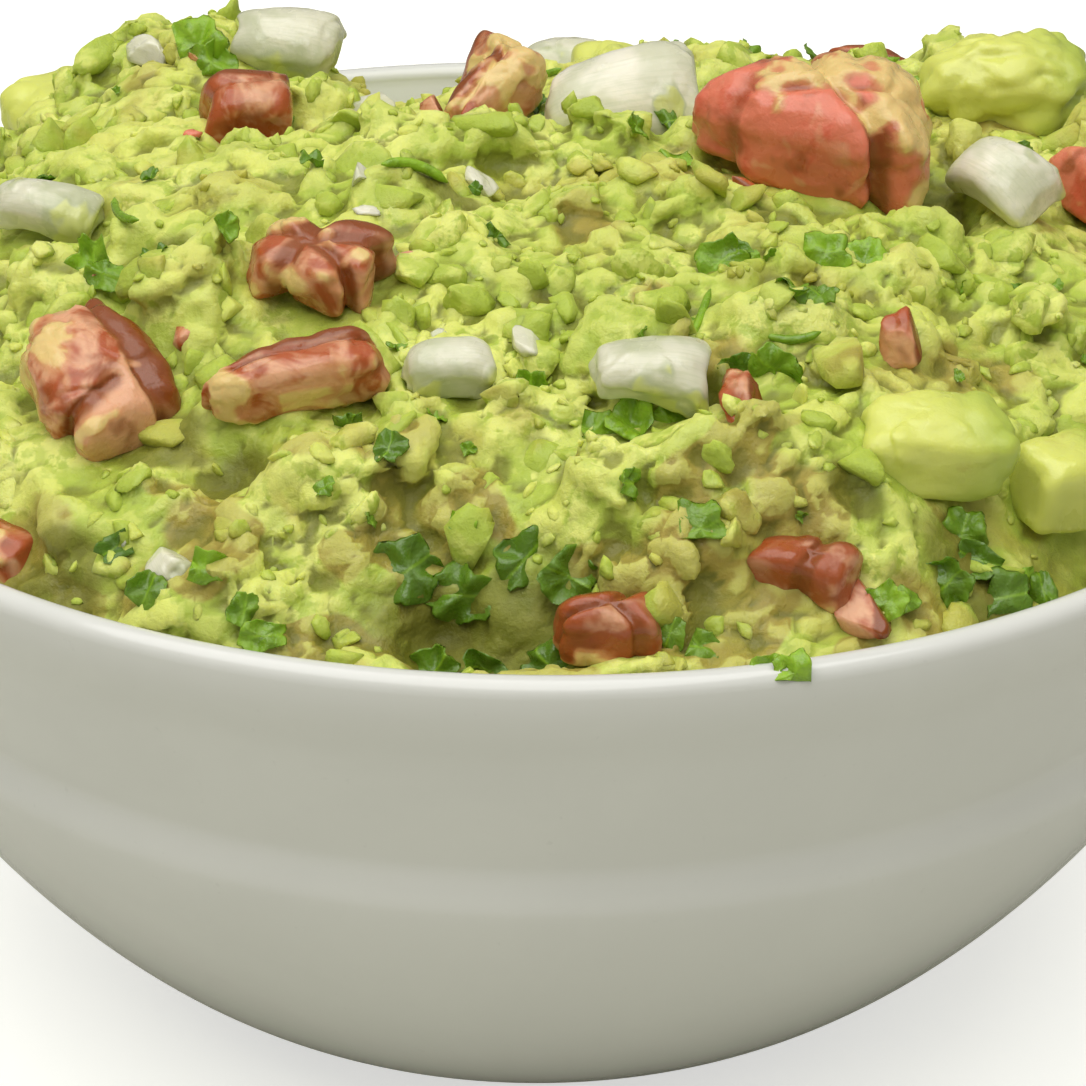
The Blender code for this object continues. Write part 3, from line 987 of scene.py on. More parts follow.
def outer_wall(band_steps=30, belly_steps=56):
    """Radius and height above the rim: a soft shoulder under the lip, a straight flared band, a wide
    soft ridge, and a cubic belly that ends level at the foot."""
    lean = math.atan2(RIM_RADIUS - RIDGE_RADIUS, RIDGE_DROP - LIP_RADIUS)
    lip_end = (RIM_RADIUS - LIP_RADIUS * (1 - math.cos(lean)), -LIP_RADIUS * (1 + math.sin(lean)))
    band_end = (RIDGE_RADIUS, -RIDGE_DROP + RIDGE_STEP)
    t = np.linspace(0, 1, band_steps, endpoint=False)[:, None]
    band = np.array(lip_end) * (1 - t) + np.array(band_end) * t
    band = band[(band[:, 1] < -LIP_REACH) & (band[:, 1] > -RIDGE_DROP + RIDGE_REACH)]
    body_start = (RIDGE_RADIUS + RIDGE_STEP + RIDGE_LEDGE, -RIDGE_DROP - RIDGE_STEP)
    body = bezier(
        body_start,
        (body_start[0] - BELLY_LEAVES[0], body_start[1] - BELLY_LEAVES[1]),
        (BELLY_RADIUS + BELLY_ARRIVES[0], -BELLY_DROP + BELLY_ARRIVES[1]),
        (BELLY_RADIUS, -BELLY_DROP),
        belly_steps,
    )
    body = body[body[:, 1] < -RIDGE_DROP - RIDGE_REACH]
    lip_side = np.array([[RIM_RADIUS, -LIP_RADIUS + 0.5], [RIM_RADIUS, -LIP_RADIUS]])
    shoulder = smooth_link(lip_side, band[:2], 8)
    ridge = smooth_link(band[-2:], body[:2], 12)
    return np.vstack([shoulder, band[1:-1], ridge, body[1:]])


def smooth_link(first, second, steps):
    """A cubic from the end of one pair of points to the start of another, level with both pairs."""
    reach = 0.36 * np.linalg.norm(second[0] - first[1])
    leaving = (first[1] - first[0]) / np.linalg.norm(first[1] - first[0])
    arriving = (second[1] - second[0]) / np.linalg.norm(second[1] - second[0])
    return bezier(first[1], first[1] + reach * leaving, second[0] - reach * arriving, second[0], steps)


def inside_of(wall, distance):
    """The wall's line moved inwards by distance, square to itself."""
    along = np.gradient(wall, axis=0)
    along /= np.linalg.norm(along, axis=1)[:, None]
    return wall + distance * np.stack([along[:, 1], -along[:, 0]], axis=1)


def plain_inner_wall(steps=40):
    """The inner wall without the ridge: the band's line carried smoothly into the belly's curve."""
    line = inside_of(outer_wall(), WALL)
    keep = (line[:, 1] > -RIDGE_DROP + 5) | (line[:, 1] < -RIDGE_DROP - 8)
    line = line[keep & (line[:, 1] < -LIP_RADIUS)]
    length = np.concatenate([[0], np.cumsum(np.linalg.norm(np.diff(line, axis=0), axis=1))])
    places = np.linspace(0, length[-1], steps)
    return np.stack([np.interp(places, length, line[:, i]) for i in (0, 1)], axis=1)


def arc(middle, radius, start, end, steps):
    turns = np.radians(np.linspace(start, end, steps))
    return np.stack([middle[0] + radius * np.cos(turns), middle[1] + radius * np.sin(turns)], axis=1)


def bowl_section():
    """The closed section from the inside floor's middle, over the lip, to the recess's middle."""
    inner = plain_inner_wall()[::-1]
    lip = arc((RIM_RADIUS - LIP_RADIUS, -LIP_RADIUS), LIP_RADIUS, 180, 0, 26)[:-1]
    base = -RIM_LEVEL
    low_out = (FOOT_OUTER - FOOT_ROUND, base + FOOT_ROUND)
    low_in = (FOOT_INNER + FOOT_ROUND, base + FOOT_ROUND)
    floor_radii = np.linspace(0, inner[0][0], 12)[:-1]
    floor_line = np.stack([floor_radii, np.full(11, inner[0][1])], axis=1)
    recess_radii = np.linspace(FOOT_INNER - 1.2, 0, 10)
    recess = np.stack([recess_radii, np.full(10, base + FOOT_RECESS)], axis=1)
    neck = bezier(
        (BELLY_RADIUS - 0.3, -BELLY_DROP),
        (FOOT_OUTER + 0.2, -BELLY_DROP),
        (FOOT_OUTER, -BELLY_DROP - 0.1),
        (FOOT_OUTER, base + FOOT_ROUND + 0.4),
        6,
    )
    low = np.vstack([arc(low_out, FOOT_ROUND, 0, -90, 6), arc(low_in, FOOT_ROUND, -90, -180, 6)])
    return np.vstack([floor_line, inner, lip, outer_wall(), neck, low, recess])


def turned(section, around):
    """The section swept round the vertical axis: rings between its first and last point."""
    turns = np.arange(around) * 2 * math.pi / around
    radius, height = section[1:-1, 0][:, None], section[1:-1, 1][:, None]
    rings = np.stack(
        [radius * np.cos(turns), radius * np.sin(turns), height + 0 * turns], axis=2
    ).reshape(-1, 3)
    points = np.vstack([(0, 0, section[0, 1]), rings, (0, 0, section[-1, 1])])
    return points + (0, 0, RIM_LEVEL), *ball_faces(len(section) - 2, around)


def edge_level(x, y):
    """Height of the heap's edge above the rim in the direction of x, y."""
    direction = np.degrees(np.arctan2(y, x))
    level = np.full(np.shape(direction), EDGE_LEVEL)
    for at, rise, width in EDGE_DIPS:
        away = (direction - at + 180) % 360 - 180
        level = level + rise * np.exp(-((away / width) ** 2))
    return level


def heap_height(x, y, dome):
    """A flat-topped dome with swells and hollows and a slow unevenness, faded out at the wall."""
    radius = np.hypot(x, y)
    share = np.clip(radius / DOME_RADIUS, 0, 1)
    edge = edge_level(x, y)
    height = edge + (dome - edge) * (1 - share**DOME_FLATNESS) ** DOME_SHOULDER
    fade = np.clip((DOME_RADIUS - radius) / EDGE_BAND, 0, 1)
    for at_x, at_y, rise, spread in SWELLS:
        away = (x - at_x) ** 2 + (y - at_y) ** 2
        height = height + fade * rise * np.exp(-away / (2 * spread**2))
    ripple = np.sin(0.36 * x + 1.1) * np.sin(0.31 * y + 0.4) + 0.6 * np.sin(0.21 * x - 0.43 * y)
    return height + 0.8 * fade * ripple


def feature_height(x, y):
    """Gaps and ledges: turned two-way bells."""
    height = np.zeros(np.shape(x))
    for at_x, at_y, rise, across, along, turn in FEATURES:
        c, s = math.cos(math.radians(turn)), math.sin(math.radians(turn))
        u = c * (x - at_x) + s * (y - at_y)
        v = -s * (x - at_x) + c * (y - at_y)
        height = height + rise * np.exp(-0.5 * ((u / across) ** 2 + (v / along) ** 2))
    return height


def bed_masks(x, y):
    """1 over the cut pieces and in front of them, falling to 0 just outside, 1 in a narrow ring behind
    and beside each, and the depth of the beds."""
    bed = np.zeros(np.shape(x))
    collar = np.zeros(np.shape(x))
    depth = np.zeros(np.shape(x))
    for node in (*TOMATO, *ONION, *AVOCADO):
        low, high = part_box(node)
        middle = (low + high) / 2 / MM
        half = (high - low) / 2 / MM
        apron, deep = BEDS[node.split("_")[0]]
        front = apron * smooth_step(2.0, -2.0, y - middle.y)
        away = np.hypot((x - middle.x) / (half.x + 0.5), (y - middle.y) / (half.y + 0.5 + front))
        inside = 1 - smooth_step(0.75, 1.12, away)
        bed = np.maximum(bed, inside)
        depth = np.maximum(depth, deep * inside)
        behind = smooth_step(-1.0, 3.0, y - middle.y)
        collar = np.maximum(collar, behind * np.exp(-(((away - 1.25) / 0.22) ** 2)))
    return bed, collar * (1 - bed), depth


def free_share(x, y, kept_from_pieces):
    """How likely a loose thing is to lie at a place: low over the cut pieces, none in the clearings."""
    share = 1 - kept_from_pieces * bed_masks(x, y)[0]
    for at_x, at_y, across, along in CLEARINGS:
        share = share * smooth_step(0.7, 1.1, np.hypot((x - at_x) / across, (y - at_y) / along))
    return share


def disc_grid(count, radius):
    """A square grid pressed into a disc: x * sqrt(1 - y^2 / 2) and the same for y."""
    line = np.linspace(-1, 1, count)
    u, v = np.meshgrid(line, line)
    return radius * u * np.sqrt(1 - v * v / 2), radius * v * np.sqrt(1 - u * u / 2)


def grid_normals(points, count):
    """Upward normals of a square grid of points, from the cross product of its two slopes."""
    grid = points.reshape(count, count, 3)
    normal = np.cross(np.gradient(grid, axis=1), np.gradient(grid, axis=0))
    normal /= np.linalg.norm(normal, axis=2)[:, :, None] + 1e-9
    return normal.reshape(-1, 3)


def mash_bed(settings):
    """The heap's closed bed: a dome pushed out along its normals by rounded lumps of two sizes.

    A lump is one minus the squared distance to the nearest point of a warped cell pattern, so lumps
    are round and the joints between them are sharp. Below its border it closes over a flat floor.
    """
    count = settings.grid
    x, y = disc_grid(count, DOME_RADIUS)
    x, y = x.ravel(), y.ravel()
    bed, collar, depth = bed_masks(x, y)
    base = heap_height(x, y, settings.dome_height) + feature_height(x, y)
    base -= settings.settle + depth
    points = np.stack([x, y, base], axis=1)
    normal = grid_normals(points, count)
    warp = np.stack([noise(points, 7.0, seed) for seed in (1, 2, 3)], axis=1)
    loose = points + 3.0 * warp
    size = settings.lump_size
    big = 1 - np.clip(cells(loose * (1, 1.25, 1), size, 5)[0] / 0.8, 0, 1) ** 2
    medium = 1 - np.clip(cells(loose + warp, size * 0.5, 6)[0] / 0.8, 0, 1) ** 2
    slow = noise(points, 18.0, 8)
    near_wall = smooth_step(0, 7, DOME_RADIUS - np.hypot(x, y))
    push = 2.2 * (big - 0.6) + 1.7 * (medium - 0.55) * (0.4 + 0.6 * big) + 1.2 * slow
    push = push * (1 - 0.7 * bed) * (0.25 + 0.75 * near_wall) + collar * (0.5 + 1.2 * slow)
    top = points + normal * push[:, None]
    index = np.arange(count * count).reshape(count, count)
    border = np.concatenate([index[0, :-1], index[:-1, -1], index[-1, :0:-1], index[:0:-1, 0]])
    skirt = top[border] * (0.97, 0.97, 0) + (0, 0, -2 * MASH_DEPTH)
    points = np.vstack([top, skirt, (0, 0, -2 * MASH_DEPTH)])
    low = count * count + np.arange(len(border))
    sides = np.stack([border, low, np.roll(low, -1), np.roll(border, -1)], axis=1)
    bottom = np.stack([low, np.full(len(low), len(points) - 1), np.roll(low, -1)], axis=1)
    return points, np.vstack([strip_faces(count, count, closed=False), sides]), bottom


def pebbles(centres, axes, sizes, seeds, grid, square, rough, cuts=5):
    """Closed chopped pieces: signed powers of the cosines and sines of two angles, pushed in and out
    by noise, pressed flat where they pass a few planes, stretched by three sizes and laid along three
    axes each. The planes face ways that follow from the seeds."""
    around, rows = grid
    v = np.linspace(-math.pi / 2, math.pi / 2, rows + 1)[1:-1]
    u, v = np.meshgrid(np.arange(around) * 2 * math.pi / around, v)
    square = np.broadcast_to(square, len(centres))[:, None]
    wide = signed_power(np.cos(v).ravel(), square)
    ways = np.stack(
        [
            wide * signed_power(np.cos(u).ravel(), square),
            wide * signed_power(np.sin(u).ravel(), square),
            signed_power(np.sin(v).ravel(), square),
        ],
        axis=2,
    )
    ends = np.broadcast_to(np.array([0.0, 0.0, 1.0]), (len(centres), 1, 3))
    ways = np.concatenate([-ends, ways, ends], axis=1)
    place = (ways + seeds[:, None]).reshape(-1, 3)
    bumps = noise(place, 1.1, 21) + 0.5 * noise(place, 0.5, 22)
    shape = ways * (1 + rough * bumps.reshape(ways.shape[:2]))[:, :, None]
    for cut in range(cuts):
        face = np.sin(seeds * (1.0 + 0.7 * cut) + cut)
        face /= np.linalg.norm(face, axis=1)[:, None] + 1e-9
        level = 0.62 + 0.22 * np.cos(seeds[:, :1] * (2.0 + cut))
        over = np.maximum(np.einsum("nij,nj->ni", shape, face) - level, 0)
        shape = shape - 0.9 * over[:, :, None] * face[:, None]
    shape = shape * sizes[:, None]
    placed = np.einsum("nij,njk->nik", shape, axes) + centres[:, None]
    quads, tips = ball_faces(rows - 1, around)
    size = ways.shape[1]
    faces = copies(quads, len(centres), size), copies(tips, len(centres), size)
    return placed.reshape(-1, 3), *faces, ways.reshape(-1, 3)


def frames_on(normals, turns):
    """For each normal an across, an along and the normal itself, turned about it."""
    side = np.cross(normals, (0.0, 1.0, 0.0))
    side /= np.linalg.norm(side, axis=1)[:, None] + 1e-9
    other = np.cross(normals, side)
    c, s = np.cos(turns)[:, None], np.sin(turns)[:, None]
    return np.stack([c * side + s * other, -s * side + c * other, normals], axis=1)


def leaning(normals, spread, random):
    """The normals, each tipped a random way."""
    tipped = normals + random.normal(0, spread, normals.shape)
    return tipped / np.linalg.norm(tipped, axis=1)[:, None]


def bed_lumps(points, normals, settings, random):
    """Soft avocado lumps half sunk in the bed, sparse over the cut pieces and smaller at the wall."""
    count = settings.lumps
    room = DOME_RADIUS - np.hypot(points[:, 0], points[:, 1])
    spare = (room > 1.5) * free_share(points[:, 0], points[:, 1], 0.97)
    chosen = random.choice(len(points), count, p=spare / spare.sum(), replace=False)
    size = settings.lump_low * (settings.lump_high / settings.lump_low) ** (random.random(count) ** 1.6)
    size = np.minimum(size, room[chosen] * 0.8)
    stretch = random.uniform((0.95, 0.75, 0.45), (1.5, 1.05, 0.8), (count, 3))
    axes = frames_on(leaning(normals[chosen], 0.3, random), random.uniform(0, 2 * math.pi, count))
    centres = points[chosen] + normals[chosen] * (size * random.uniform(-0.35, 0.25, count))[:, None]
    seeds = random.uniform(0, 900, (count, 3))
    square = random.uniform(0.6, 1.0, count)
    return pebbles(centres, axes, size[:, None] * stretch, seeds, (24, 14), square, 0.2)[:3]


def joined(parts):
    """Several lists of points, quads and triangles as one."""
    starts = np.cumsum([0] + [len(points) for points, *_ in parts])
    points = np.vstack([points for points, *_ in parts])
    quads = np.vstack([quads + start for (_, quads, _), start in zip(parts, starts)])
    triangles = np.vstack([triangles + start for (*_, triangles), start in zip(parts, starts)])
    return points, quads, triangles


def skin_over(points, quads, triangles, voxel, passes):
    """Points and quads of one soft skin over overlapping closed shapes, by a Remesh and a Smooth."""
    rough = bpy.data.objects.new("rough_mash", mesh_of("rough_mash", points, quads, triangles))
    bpy.context.scene.collection.objects.link(rough)
    remesh = rough.modifiers.new("skin", "REMESH")
    remesh.mode = "VOXEL"
    remesh.voxel_size = voxel * MM
    soften = rough.modifiers.new("soften", "SMOOTH")
    soften.iterations = passes
    evaluated = rough.evaluated_get(bpy.context.evaluated_depsgraph_get())
    mesh = evaluated.to_mesh()
    coordinates = np.empty(len(mesh.vertices) * 3, np.float32)
    corners = np.empty(len(mesh.loops), np.int32)
    mesh.vertices.foreach_get("co", coordinates)
    mesh.loops.foreach_get("vertex_index", corners)
    evaluated.to_mesh_clear()
    data = rough.data
    bpy.data.objects.remove(rough)
    bpy.data.meshes.remove(data)
    return coordinates.reshape(-1, 3).astype(float) / MM, corners.reshape(-1, 4)


def quad_edges(quads):
    return np.stack([quads, np.roll(quads, -1, axis=1)], axis=2).reshape(-1, 2)


def largest_part(points, quads):
    """The biggest connected part: each point takes the lowest number among its neighbours until
    nothing changes."""
    start, end = quad_edges(quads).T
    label = np.arange(len(points))
    while True:
        low = np.minimum(label[start], label[end])
        fresh = label.copy()
        np.minimum.at(fresh, start, low)
        np.minimum.at(fresh, end, low)
        fresh = fresh[fresh]
        if (fresh == label).all():
            break
        label = fresh
    kept = np.bincount(label).argmax()
    return compact(points, quads[label[quads[:, 0]] == kept])


def compact(points, quads):
    """Only the points that the quads use, renumbered."""
    used, index = np.unique(quads, return_inverse=True)
    return points[used], index.reshape(quads.shape)


def closed_below(points, quads, level, middle):
    """The quads above a level, with every open edge joined to one middle point."""
    points, quads = compact(points, quads[(points[quads, 2] > level).all(axis=1)])
    edges = quad_edges(quads)
    code = edges @ (len(points), 1)
    back = edges @ (1, len(points))
    open_edges = edges[~np.isin(back, code)]
    centre = np.full(len(open_edges), len(points))
    return np.vstack([points, middle]), quads, np.stack([open_edges[:, 1], open_edges[:, 0], centre], axis=1)


def point_normals(points, quads):
    """Normals from the cross products of the diagonals of the quads round each point."""
    a, b, c, d = points[quads].transpose(1, 0, 2)
    across = np.cross(c - a, d - b)
    total = [np.bincount(quads.ravel(), np.repeat(across[:, i], 4), len(points)) for i in range(3)]
    normal = np.stack(total, axis=1)
    return normal / (np.linalg.norm(normal, axis=1)[:, None] + 1e-9)


def hollow_depth(points, quads, normal, passes):
    """How far each point lies below its surroundings: positions averaged with their neighbours many
    times over, less the point itself, along the normal."""
    start, end = quad_edges(quads).T
    share = np.bincount(start, minlength=len(points)) + np.bincount(end, minlength=len(points))
    share = np.maximum(share, 1)[:, None]
    soft = points.copy()
    for _ in range(passes):
        total = [
            np.bincount(start, soft[end, i], len(points)) + np.bincount(end, soft[start, i], len(points))
            for i in range(3)
        ]
        soft = 0.5 * soft + 0.5 * np.stack(total, axis=1) / share
    return np.einsum("ij,ij->i", soft - points, normal)


def broad_relief(points, cell, reach):
    """Height above the mean of the tops around, from the highest point in each cell of a grid."""
    count = int(2 * RIM_RADIUS / cell) + 1
    column = ((points[:, :2] + RIM_RADIUS) / cell).astype(int)
    tops = np.full((count, count), -2.0)
    np.maximum.at(tops, (column[:, 0], column[:, 1]), points[:, 2])
    around = box_blur(box_blur(tops, reach), reach)
    return points[:, 2] - around[column[:, 0], column[:, 1]]


def pressed(points, settings):
    """The points with whatever stands above the heap brought down, by a tanh of its height: a little
    in front, more towards the back where the outline shows."""
    x, y = points[:, 0], points[:, 1]
    over = points[:, 2] - heap_height(x, y, settings.dome_height) - feature_height(x, y)
    most = 3.6 + (settings.crest - 3.6) * smooth_step(12, 34, y)
    low = np.where(over > 0, most * np.tanh(np.maximum(over, 0) / most) - over, 0)
    return points + np.stack([0 * x, 0 * x, low], axis=1)


def marked(points, places):
    """1 at the middle of each place, falling off as a bell."""
    x, y = points[:, 0], points[:, 1]
    mask = np.zeros(len(points))
    for at_x, at_y, across, along in places:
        away = ((x - at_x) / across) ** 2 + ((y - at_y) / along) ** 2
        mask = np.maximum(mask, np.exp(-0.5 * away))
    return mask


def front_wall_browning_and_shade(points):
    """Soft patches near the front wall: partly browning, partly painted shade."""
    return smooth_step(-42, -62, points[:, 1]) * smooth_step(-0.05, 0.3, noise(points, 6.5, 41))


def mash_skin(settings):
    """The finished mash: bed and lumps under one skin, with curds of two finer sizes pushed out, and
    its values from 0 to 1 for the material."""
    random = np.random.default_rng(settings.seed)
    bed = mash_bed(settings)
    top = settings.grid**2
    lumps = bed_lumps(bed[0][:top], grid_normals(bed[0][:top], settings.grid), settings, random)
    points, quads = skin_over(*joined((bed, lumps)), settings.fineness, 1)
    points, quads = largest_part(points, quads)
    points = pressed(points, settings)
    middle = (0, 0, -3 * MASH_DEPTH)
    points, quads, closing = closed_below(points, quads, -MASH_DEPTH, middle)
    normal = point_normals(points, quads)
    calm = 1 - 0.5 * bed_masks(points[:, 0], points[:, 1])[0]
    warp = np.stack([noise(points, 3.0, seed) for seed in (31, 32, 33)], axis=1)
    _, gap, tone = cells(points + 1.3 * warp, 4.4, 19)
    chunk = (tone - 0.45) * smooth_step(0.0, 0.22, gap) - 0.35 * (1 - smooth_step(0.0, 0.16, gap))
    curd = 1 - np.clip(cells(points + 0.8 * warp, 2.3, 9)[0] / 0.8, 0, 1) ** 2
    grain = noise(points + warp, 1.3, 10)
    drift = smooth_step(-0.15, 0.3, noise(points, 9.0, 14))
    broken = smooth_step(-0.2, 0.25, noise(points, 13.0, 24))
    push = 0.8 * (curd - 0.6) * (0.35 + 0.65 * drift) + 0.2 * grain + 1.2 * chunk * (0.3 + 0.7 * broken)
    points = points + normal * (push * calm)[:, None]
    depth = hollow_depth(points, quads, normal, 14)
    broad = broad_relief(points, 0.9, 4)
    # relief and hollow measure height against the surroundings: the material uses them for painted shade in low
    # places and hollows and painted light on crests; darkened places get painted shade in gaps.
    fields = {
        "relief": np.clip(0.5 + broad / 7.0, 0, 1),
        "hollow": np.clip(0.5 + depth / 1.4, 0, 1),
        "browned_and_shaded": np.maximum(marked(points, BROWNED), front_wall_browning_and_shade(points)),
        "darkened": marked(points, DARKENED),
        "tone": tone,
    }
    return points + (0, 0, RIM_LEVEL), quads, closing, fields


def groove_depth(local, grooves):
    """How deep each point lies in grooves that run one way from a spot: a bell of the distance from
    the groove's line, faded in where the line starts."""
    depth = np.zeros(len(local))
    for at_x, at_y, direction, width, deep in grooves:
        c, s = math.cos(math.radians(direction)), math.sin(math.radians(direction))
        along = (local[:, 0] - at_x) * c + (local[:, 1] - at_y) * s
        away = (local[:, 1] - at_y) * c - (local[:, 0] - at_x) * s
        depth = np.maximum(depth, deep * np.exp(-((away / width) ** 2)) * smooth_step(-0.15, 0.15, along))
    return depth


def chunk(size, shape, turn, seed, grooves, smear, around=96, rows=56):
    """A rounded box of two parameters that tapers and bows, with grooves, soft facets and mash
    smeared over parts of it, turned in place.

    x, y and z are signed powers of the cosines and sines of the two angles. Returns the points, and
    their places before turning, their groove depth and their smear for the material.
    """
    square, taper, bow_long, bow_wide, rough = shape
    half = np.array(size) / 2
    u = np.arange(around) * 2 * math.pi / around
    v = np.linspace(-math.pi / 2, math.pi / 2, rows + 1)[1:-1]
    u, v = np.meshgrid(u, v)
    x = signed_power(np.cos(v), square) * signed_power(np.cos(u), square)
    y = signed_power(np.cos(v), square) * signed_power(np.sin(u), square)
    z = signed_power(np.sin(v), square)
    local = np.vstack([(0, 0, -1), np.stack([x.ravel(), y.ravel(), z.ravel()], axis=1), (0, 0, 1)])
    swell = np.sin(2.3 * local[:, 0] + seed) * np.sin(2.9 * local[:, 1] + 1.7 * seed + local[:, 2])
    points = local * (1 + 0.07 * swell)[:, None] * half
    shift = np.array([7.0, 3.0, 5.0]) * seed
    lumps = noise(points + shift, 5.0, 11) + 0.5 * noise(points + shift, 2.2, 12)
    fold = 1 - smooth_step(0.0, 0.22, np.abs(noise(points + 1.3 * shift, 6.0, 13)))
    fine = noise(points + shift, 1.1, 15)
    groove = groove_depth(local, grooves)
    points *= (1 + rough * (lumps - 0.5 * fold) + 0.12 * rough * fine - groove)[:, None]
    amount, lean = smear
    film = noise(points + 2.1 * shift, 4.2, 16) + 0.4 * noise(points + shift, 1.6, 17)
    film = smooth_step(0.05, 0.55, film + amount + local @ np.array(lean))
    thick = film * (0.15 + 0.45 * np.abs(noise(points + shift, 1.8, 18)))
    points += local / np.linalg.norm(local, axis=1)[:, None] * thick[:, None]
    share = points / half
    points[:, 1] *= 1 + taper * share[:, 0]
    points[:, 2] *= 1 + 0.5 * taper * share[:, 0]
    points[:, 2] -= half[0] * bow_long * (share[:, 0] ** 2 - 0.4)
    points[:, 2] -= half[1] * bow_wide * (share[:, 1] ** 2 - 0.4)
    yaw, roll, pitch = turn
    matrix = np.array(Euler([math.radians(a) for a in (roll, pitch, yaw)]).to_matrix())
    fields = {"local": local, "groove": groove, "smear": film}
    return points @ matrix.T, fields, *ball_faces(rows - 1, around)


def fitted_to(points, node):
    """The points stretched and moved so that their box is the CAD node's box."""
    low, high = (np.array(corner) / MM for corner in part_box(node))
    share = (points - points.min(axis=0)) / np.ptp(points, axis=0)
    return low + share * (high - low)


# --- scattering ----------------------------------------------------------------------------------


def mash_top():
    """Points and normals of the finished mash's top, in millimetres."""
    mesh = bpy.data.objects["mash"].data
    points = np.empty(len(mesh.vertices) * 3, np.float32)
    normals = np.empty(len(mesh.vertices) * 3, np.float32)
    mesh.vertices.foreach_get("co", points)
    mesh.vertex_normals.foreach_get("vector", normals)
    points = points.reshape(-1, 3).astype(float) / MM
    normals = normals.reshape(-1, 3).astype(float)
    keep = (points[:, 2] > RIM_LEVEL - 6) & (np.hypot(points[:, 0], points[:, 1]) < DOME_RADIUS - 1.0)
    keep &= normals[:, 2] > 0.1
    return points[keep], normals[keep]


def bits_on(count, radii, random, sink, rough, grid, keep_clear):
    """Small pieces part sunk in the mash at random places, and a tone from 0 to 1 for each."""
    points, normals = mash_top()
    spare = free_share(points[:, 0], points[:, 1], keep_clear)
    chosen = random.choice(len(points), count, p=spare / spare.sum(), replace=False)
    size = radii[0] * (radii[1] / radii[0]) ** (random.random(count) ** 1.7)
    stretch = random.uniform((0.9, 0.7, 0.45), (1.45, 1.0, 0.8), (count, 3))
    axes = frames_on(leaning(normals[chosen], 0.35, random), random.uniform(0, 2 * math.pi, count))
    centres = points[chosen] + normals[chosen] * (size * stretch[:, 2] * sink)[:, None]
    seeds = random.uniform(0, 900, (count, 3))
    square = random.uniform(0.5, 0.95, count)
    made = pebbles(centres, axes, size[:, None] * stretch, seeds, grid, square, rough)
    tone = np.repeat(random.random(count), len(made[3]) // count)
    return *made[:3], {"tone": tone, "local": made[3]}


def nearest_top(points, places):
    """For each place in x and y the surface point nearest to it, higher ones first."""
    away = np.hypot(points[:, 0] - places[:, :1], points[:, 1] - places[:, 1:2])
    return (away - 0.3 * points[:, 2]).argmin(axis=1)


def laid_bits(rows, random, square):
    """Small pieces laid at given places, a third of them sunk in the mash."""
    points, normals = mash_top()
    rows = np.array(rows)
    chosen = nearest_top(points, rows)
    axes = frames_on(leaning(normals[chosen] + (0, -0.5, 0.6), 0.1, random), np.radians(90 + rows[:, 5]))
    sizes = rows[:, 2:5] / 2
    centres = points[chosen] + 0.35 * sizes[:, 2:] * axes[:, 2]
    seeds = random.uniform(0, 900, (len(rows), 3))
    made = pebbles(centres, axes, sizes, seeds, (32, 20), square, 0.3)
    tone = np.repeat(0.4 * random.random(len(rows)), len(made[3]) // len(rows))
    return *made[:3], {"tone": tone, "local": made[3]}


def leaf_shapes(count, sizes, random, around=36, rows=8):
    """Flat chopped leaves about their own middle: a squashed sphere whose outline has soft lobes and
    small teeth, cut straight on two sides, pleated along its veins, cupped and crinkled."""
    v = np.linspace(-math.pi / 2, math.pi / 2, rows + 1)[1:-1]
    turn, v = np.meshgrid(np.arange(around) * 2 * math.pi / around, v)
    turn, v = turn.ravel(), v.ravel()
    ends = np.zeros((count, 1))
    phase = random.uniform(-0.3, 0.3, (count, 1))
    lobes = random.uniform(0.03, 0.14, (count, 1))
    outline = (0.66 + 0.34 * np.abs(np.cos(turn / 2))) * (1 + lobes * np.cos(5 * turn + phase))
    outline = outline * (1 + 0.04 * np.cos(13 * turn + 9 * phase))
    slim = random.uniform(0.5, 1.0, (count, 1))
    cut = random.uniform(0.2, 0.9, (count, 1))
    cut_side = random.uniform(0.3, 1.2, (count, 1))
    x = np.hstack([ends, np.cos(v) * outline * np.cos(turn), ends])
    y = np.hstack([ends, np.cos(v) * outline * np.sin(turn) * slim, ends])
    x = np.minimum(x, cut + 0.3 * y)
    y = np.minimum(y, cut_side - 0.4 * x)
    lift = 0.04 * np.concatenate([[-1.0], np.sin(v), [1.0]])
    reach = np.hypot(x, y)
    pleat = 0.16 * reach * np.hstack([ends, np.abs(np.sin(2.5 * turn + phase / 2)), ends])
    cup = random.uniform(-0.5, 0.6, (count, 1))
    curl = random.uniform(-0.4, 0.5, (count, 1))
    flat = np.stack([x, y, 0 * x], axis=2)
    shift = random.uniform(0, 500, (count, 1, 3))
    crinkle = noise((flat + shift).reshape(-1, 3), 0.5, 31).reshape(x.shape)
    lift = lift + pleat + cup * y * y + curl * x * x + 0.42 * crinkle
    shape = np.stack([x, y, lift], axis=2) * (sizes / 2)[:, None, None]
    return shape, flat, *ball_faces(rows - 1, around)


def strips_along(middle, ways, lengths, radius, random, around=7, rows=9):
    """Short stems: a circle carried along a gently bent line, closed to a point at both ends."""
    count = len(middle)
    s = np.linspace(-0.5, 0.5, rows)
    turn = np.arange(around) * 2 * math.pi / around
    girth = radius[:, None] * np.sqrt(np.clip(1 - (2 * s) ** 6, 0.05, 1))
    bend = random.uniform(-0.16, 0.16, count)[:, None] * lengths[:, None] * (4 * s * s - 1)
    along = s * lengths[:, None]
    x = np.repeat(along[:, :, None], around, axis=2)
    y = bend[:, :, None] + girth[:, :, None] * np.cos(turn)
    z = girth[:, :, None] * np.sin(turn)
    rings = np.stack([x, y, z], axis=3).reshape(count, -1, 3)
    first = np.stack([along[:, 0], bend[:, 0], 0 * bend[:, 0]], axis=1)[:, None]
    last = np.stack([along[:, -1], bend[:, -1], 0 * bend[:, -1]], axis=1)[:, None]
    local = np.concatenate([first, rings, last], axis=1)
    placed = np.einsum("nij,njk->nik", local, ways) + middle[:, None]
    return placed.reshape(-1, 3), local.reshape(-1, 3), *ball_faces(rows, around)


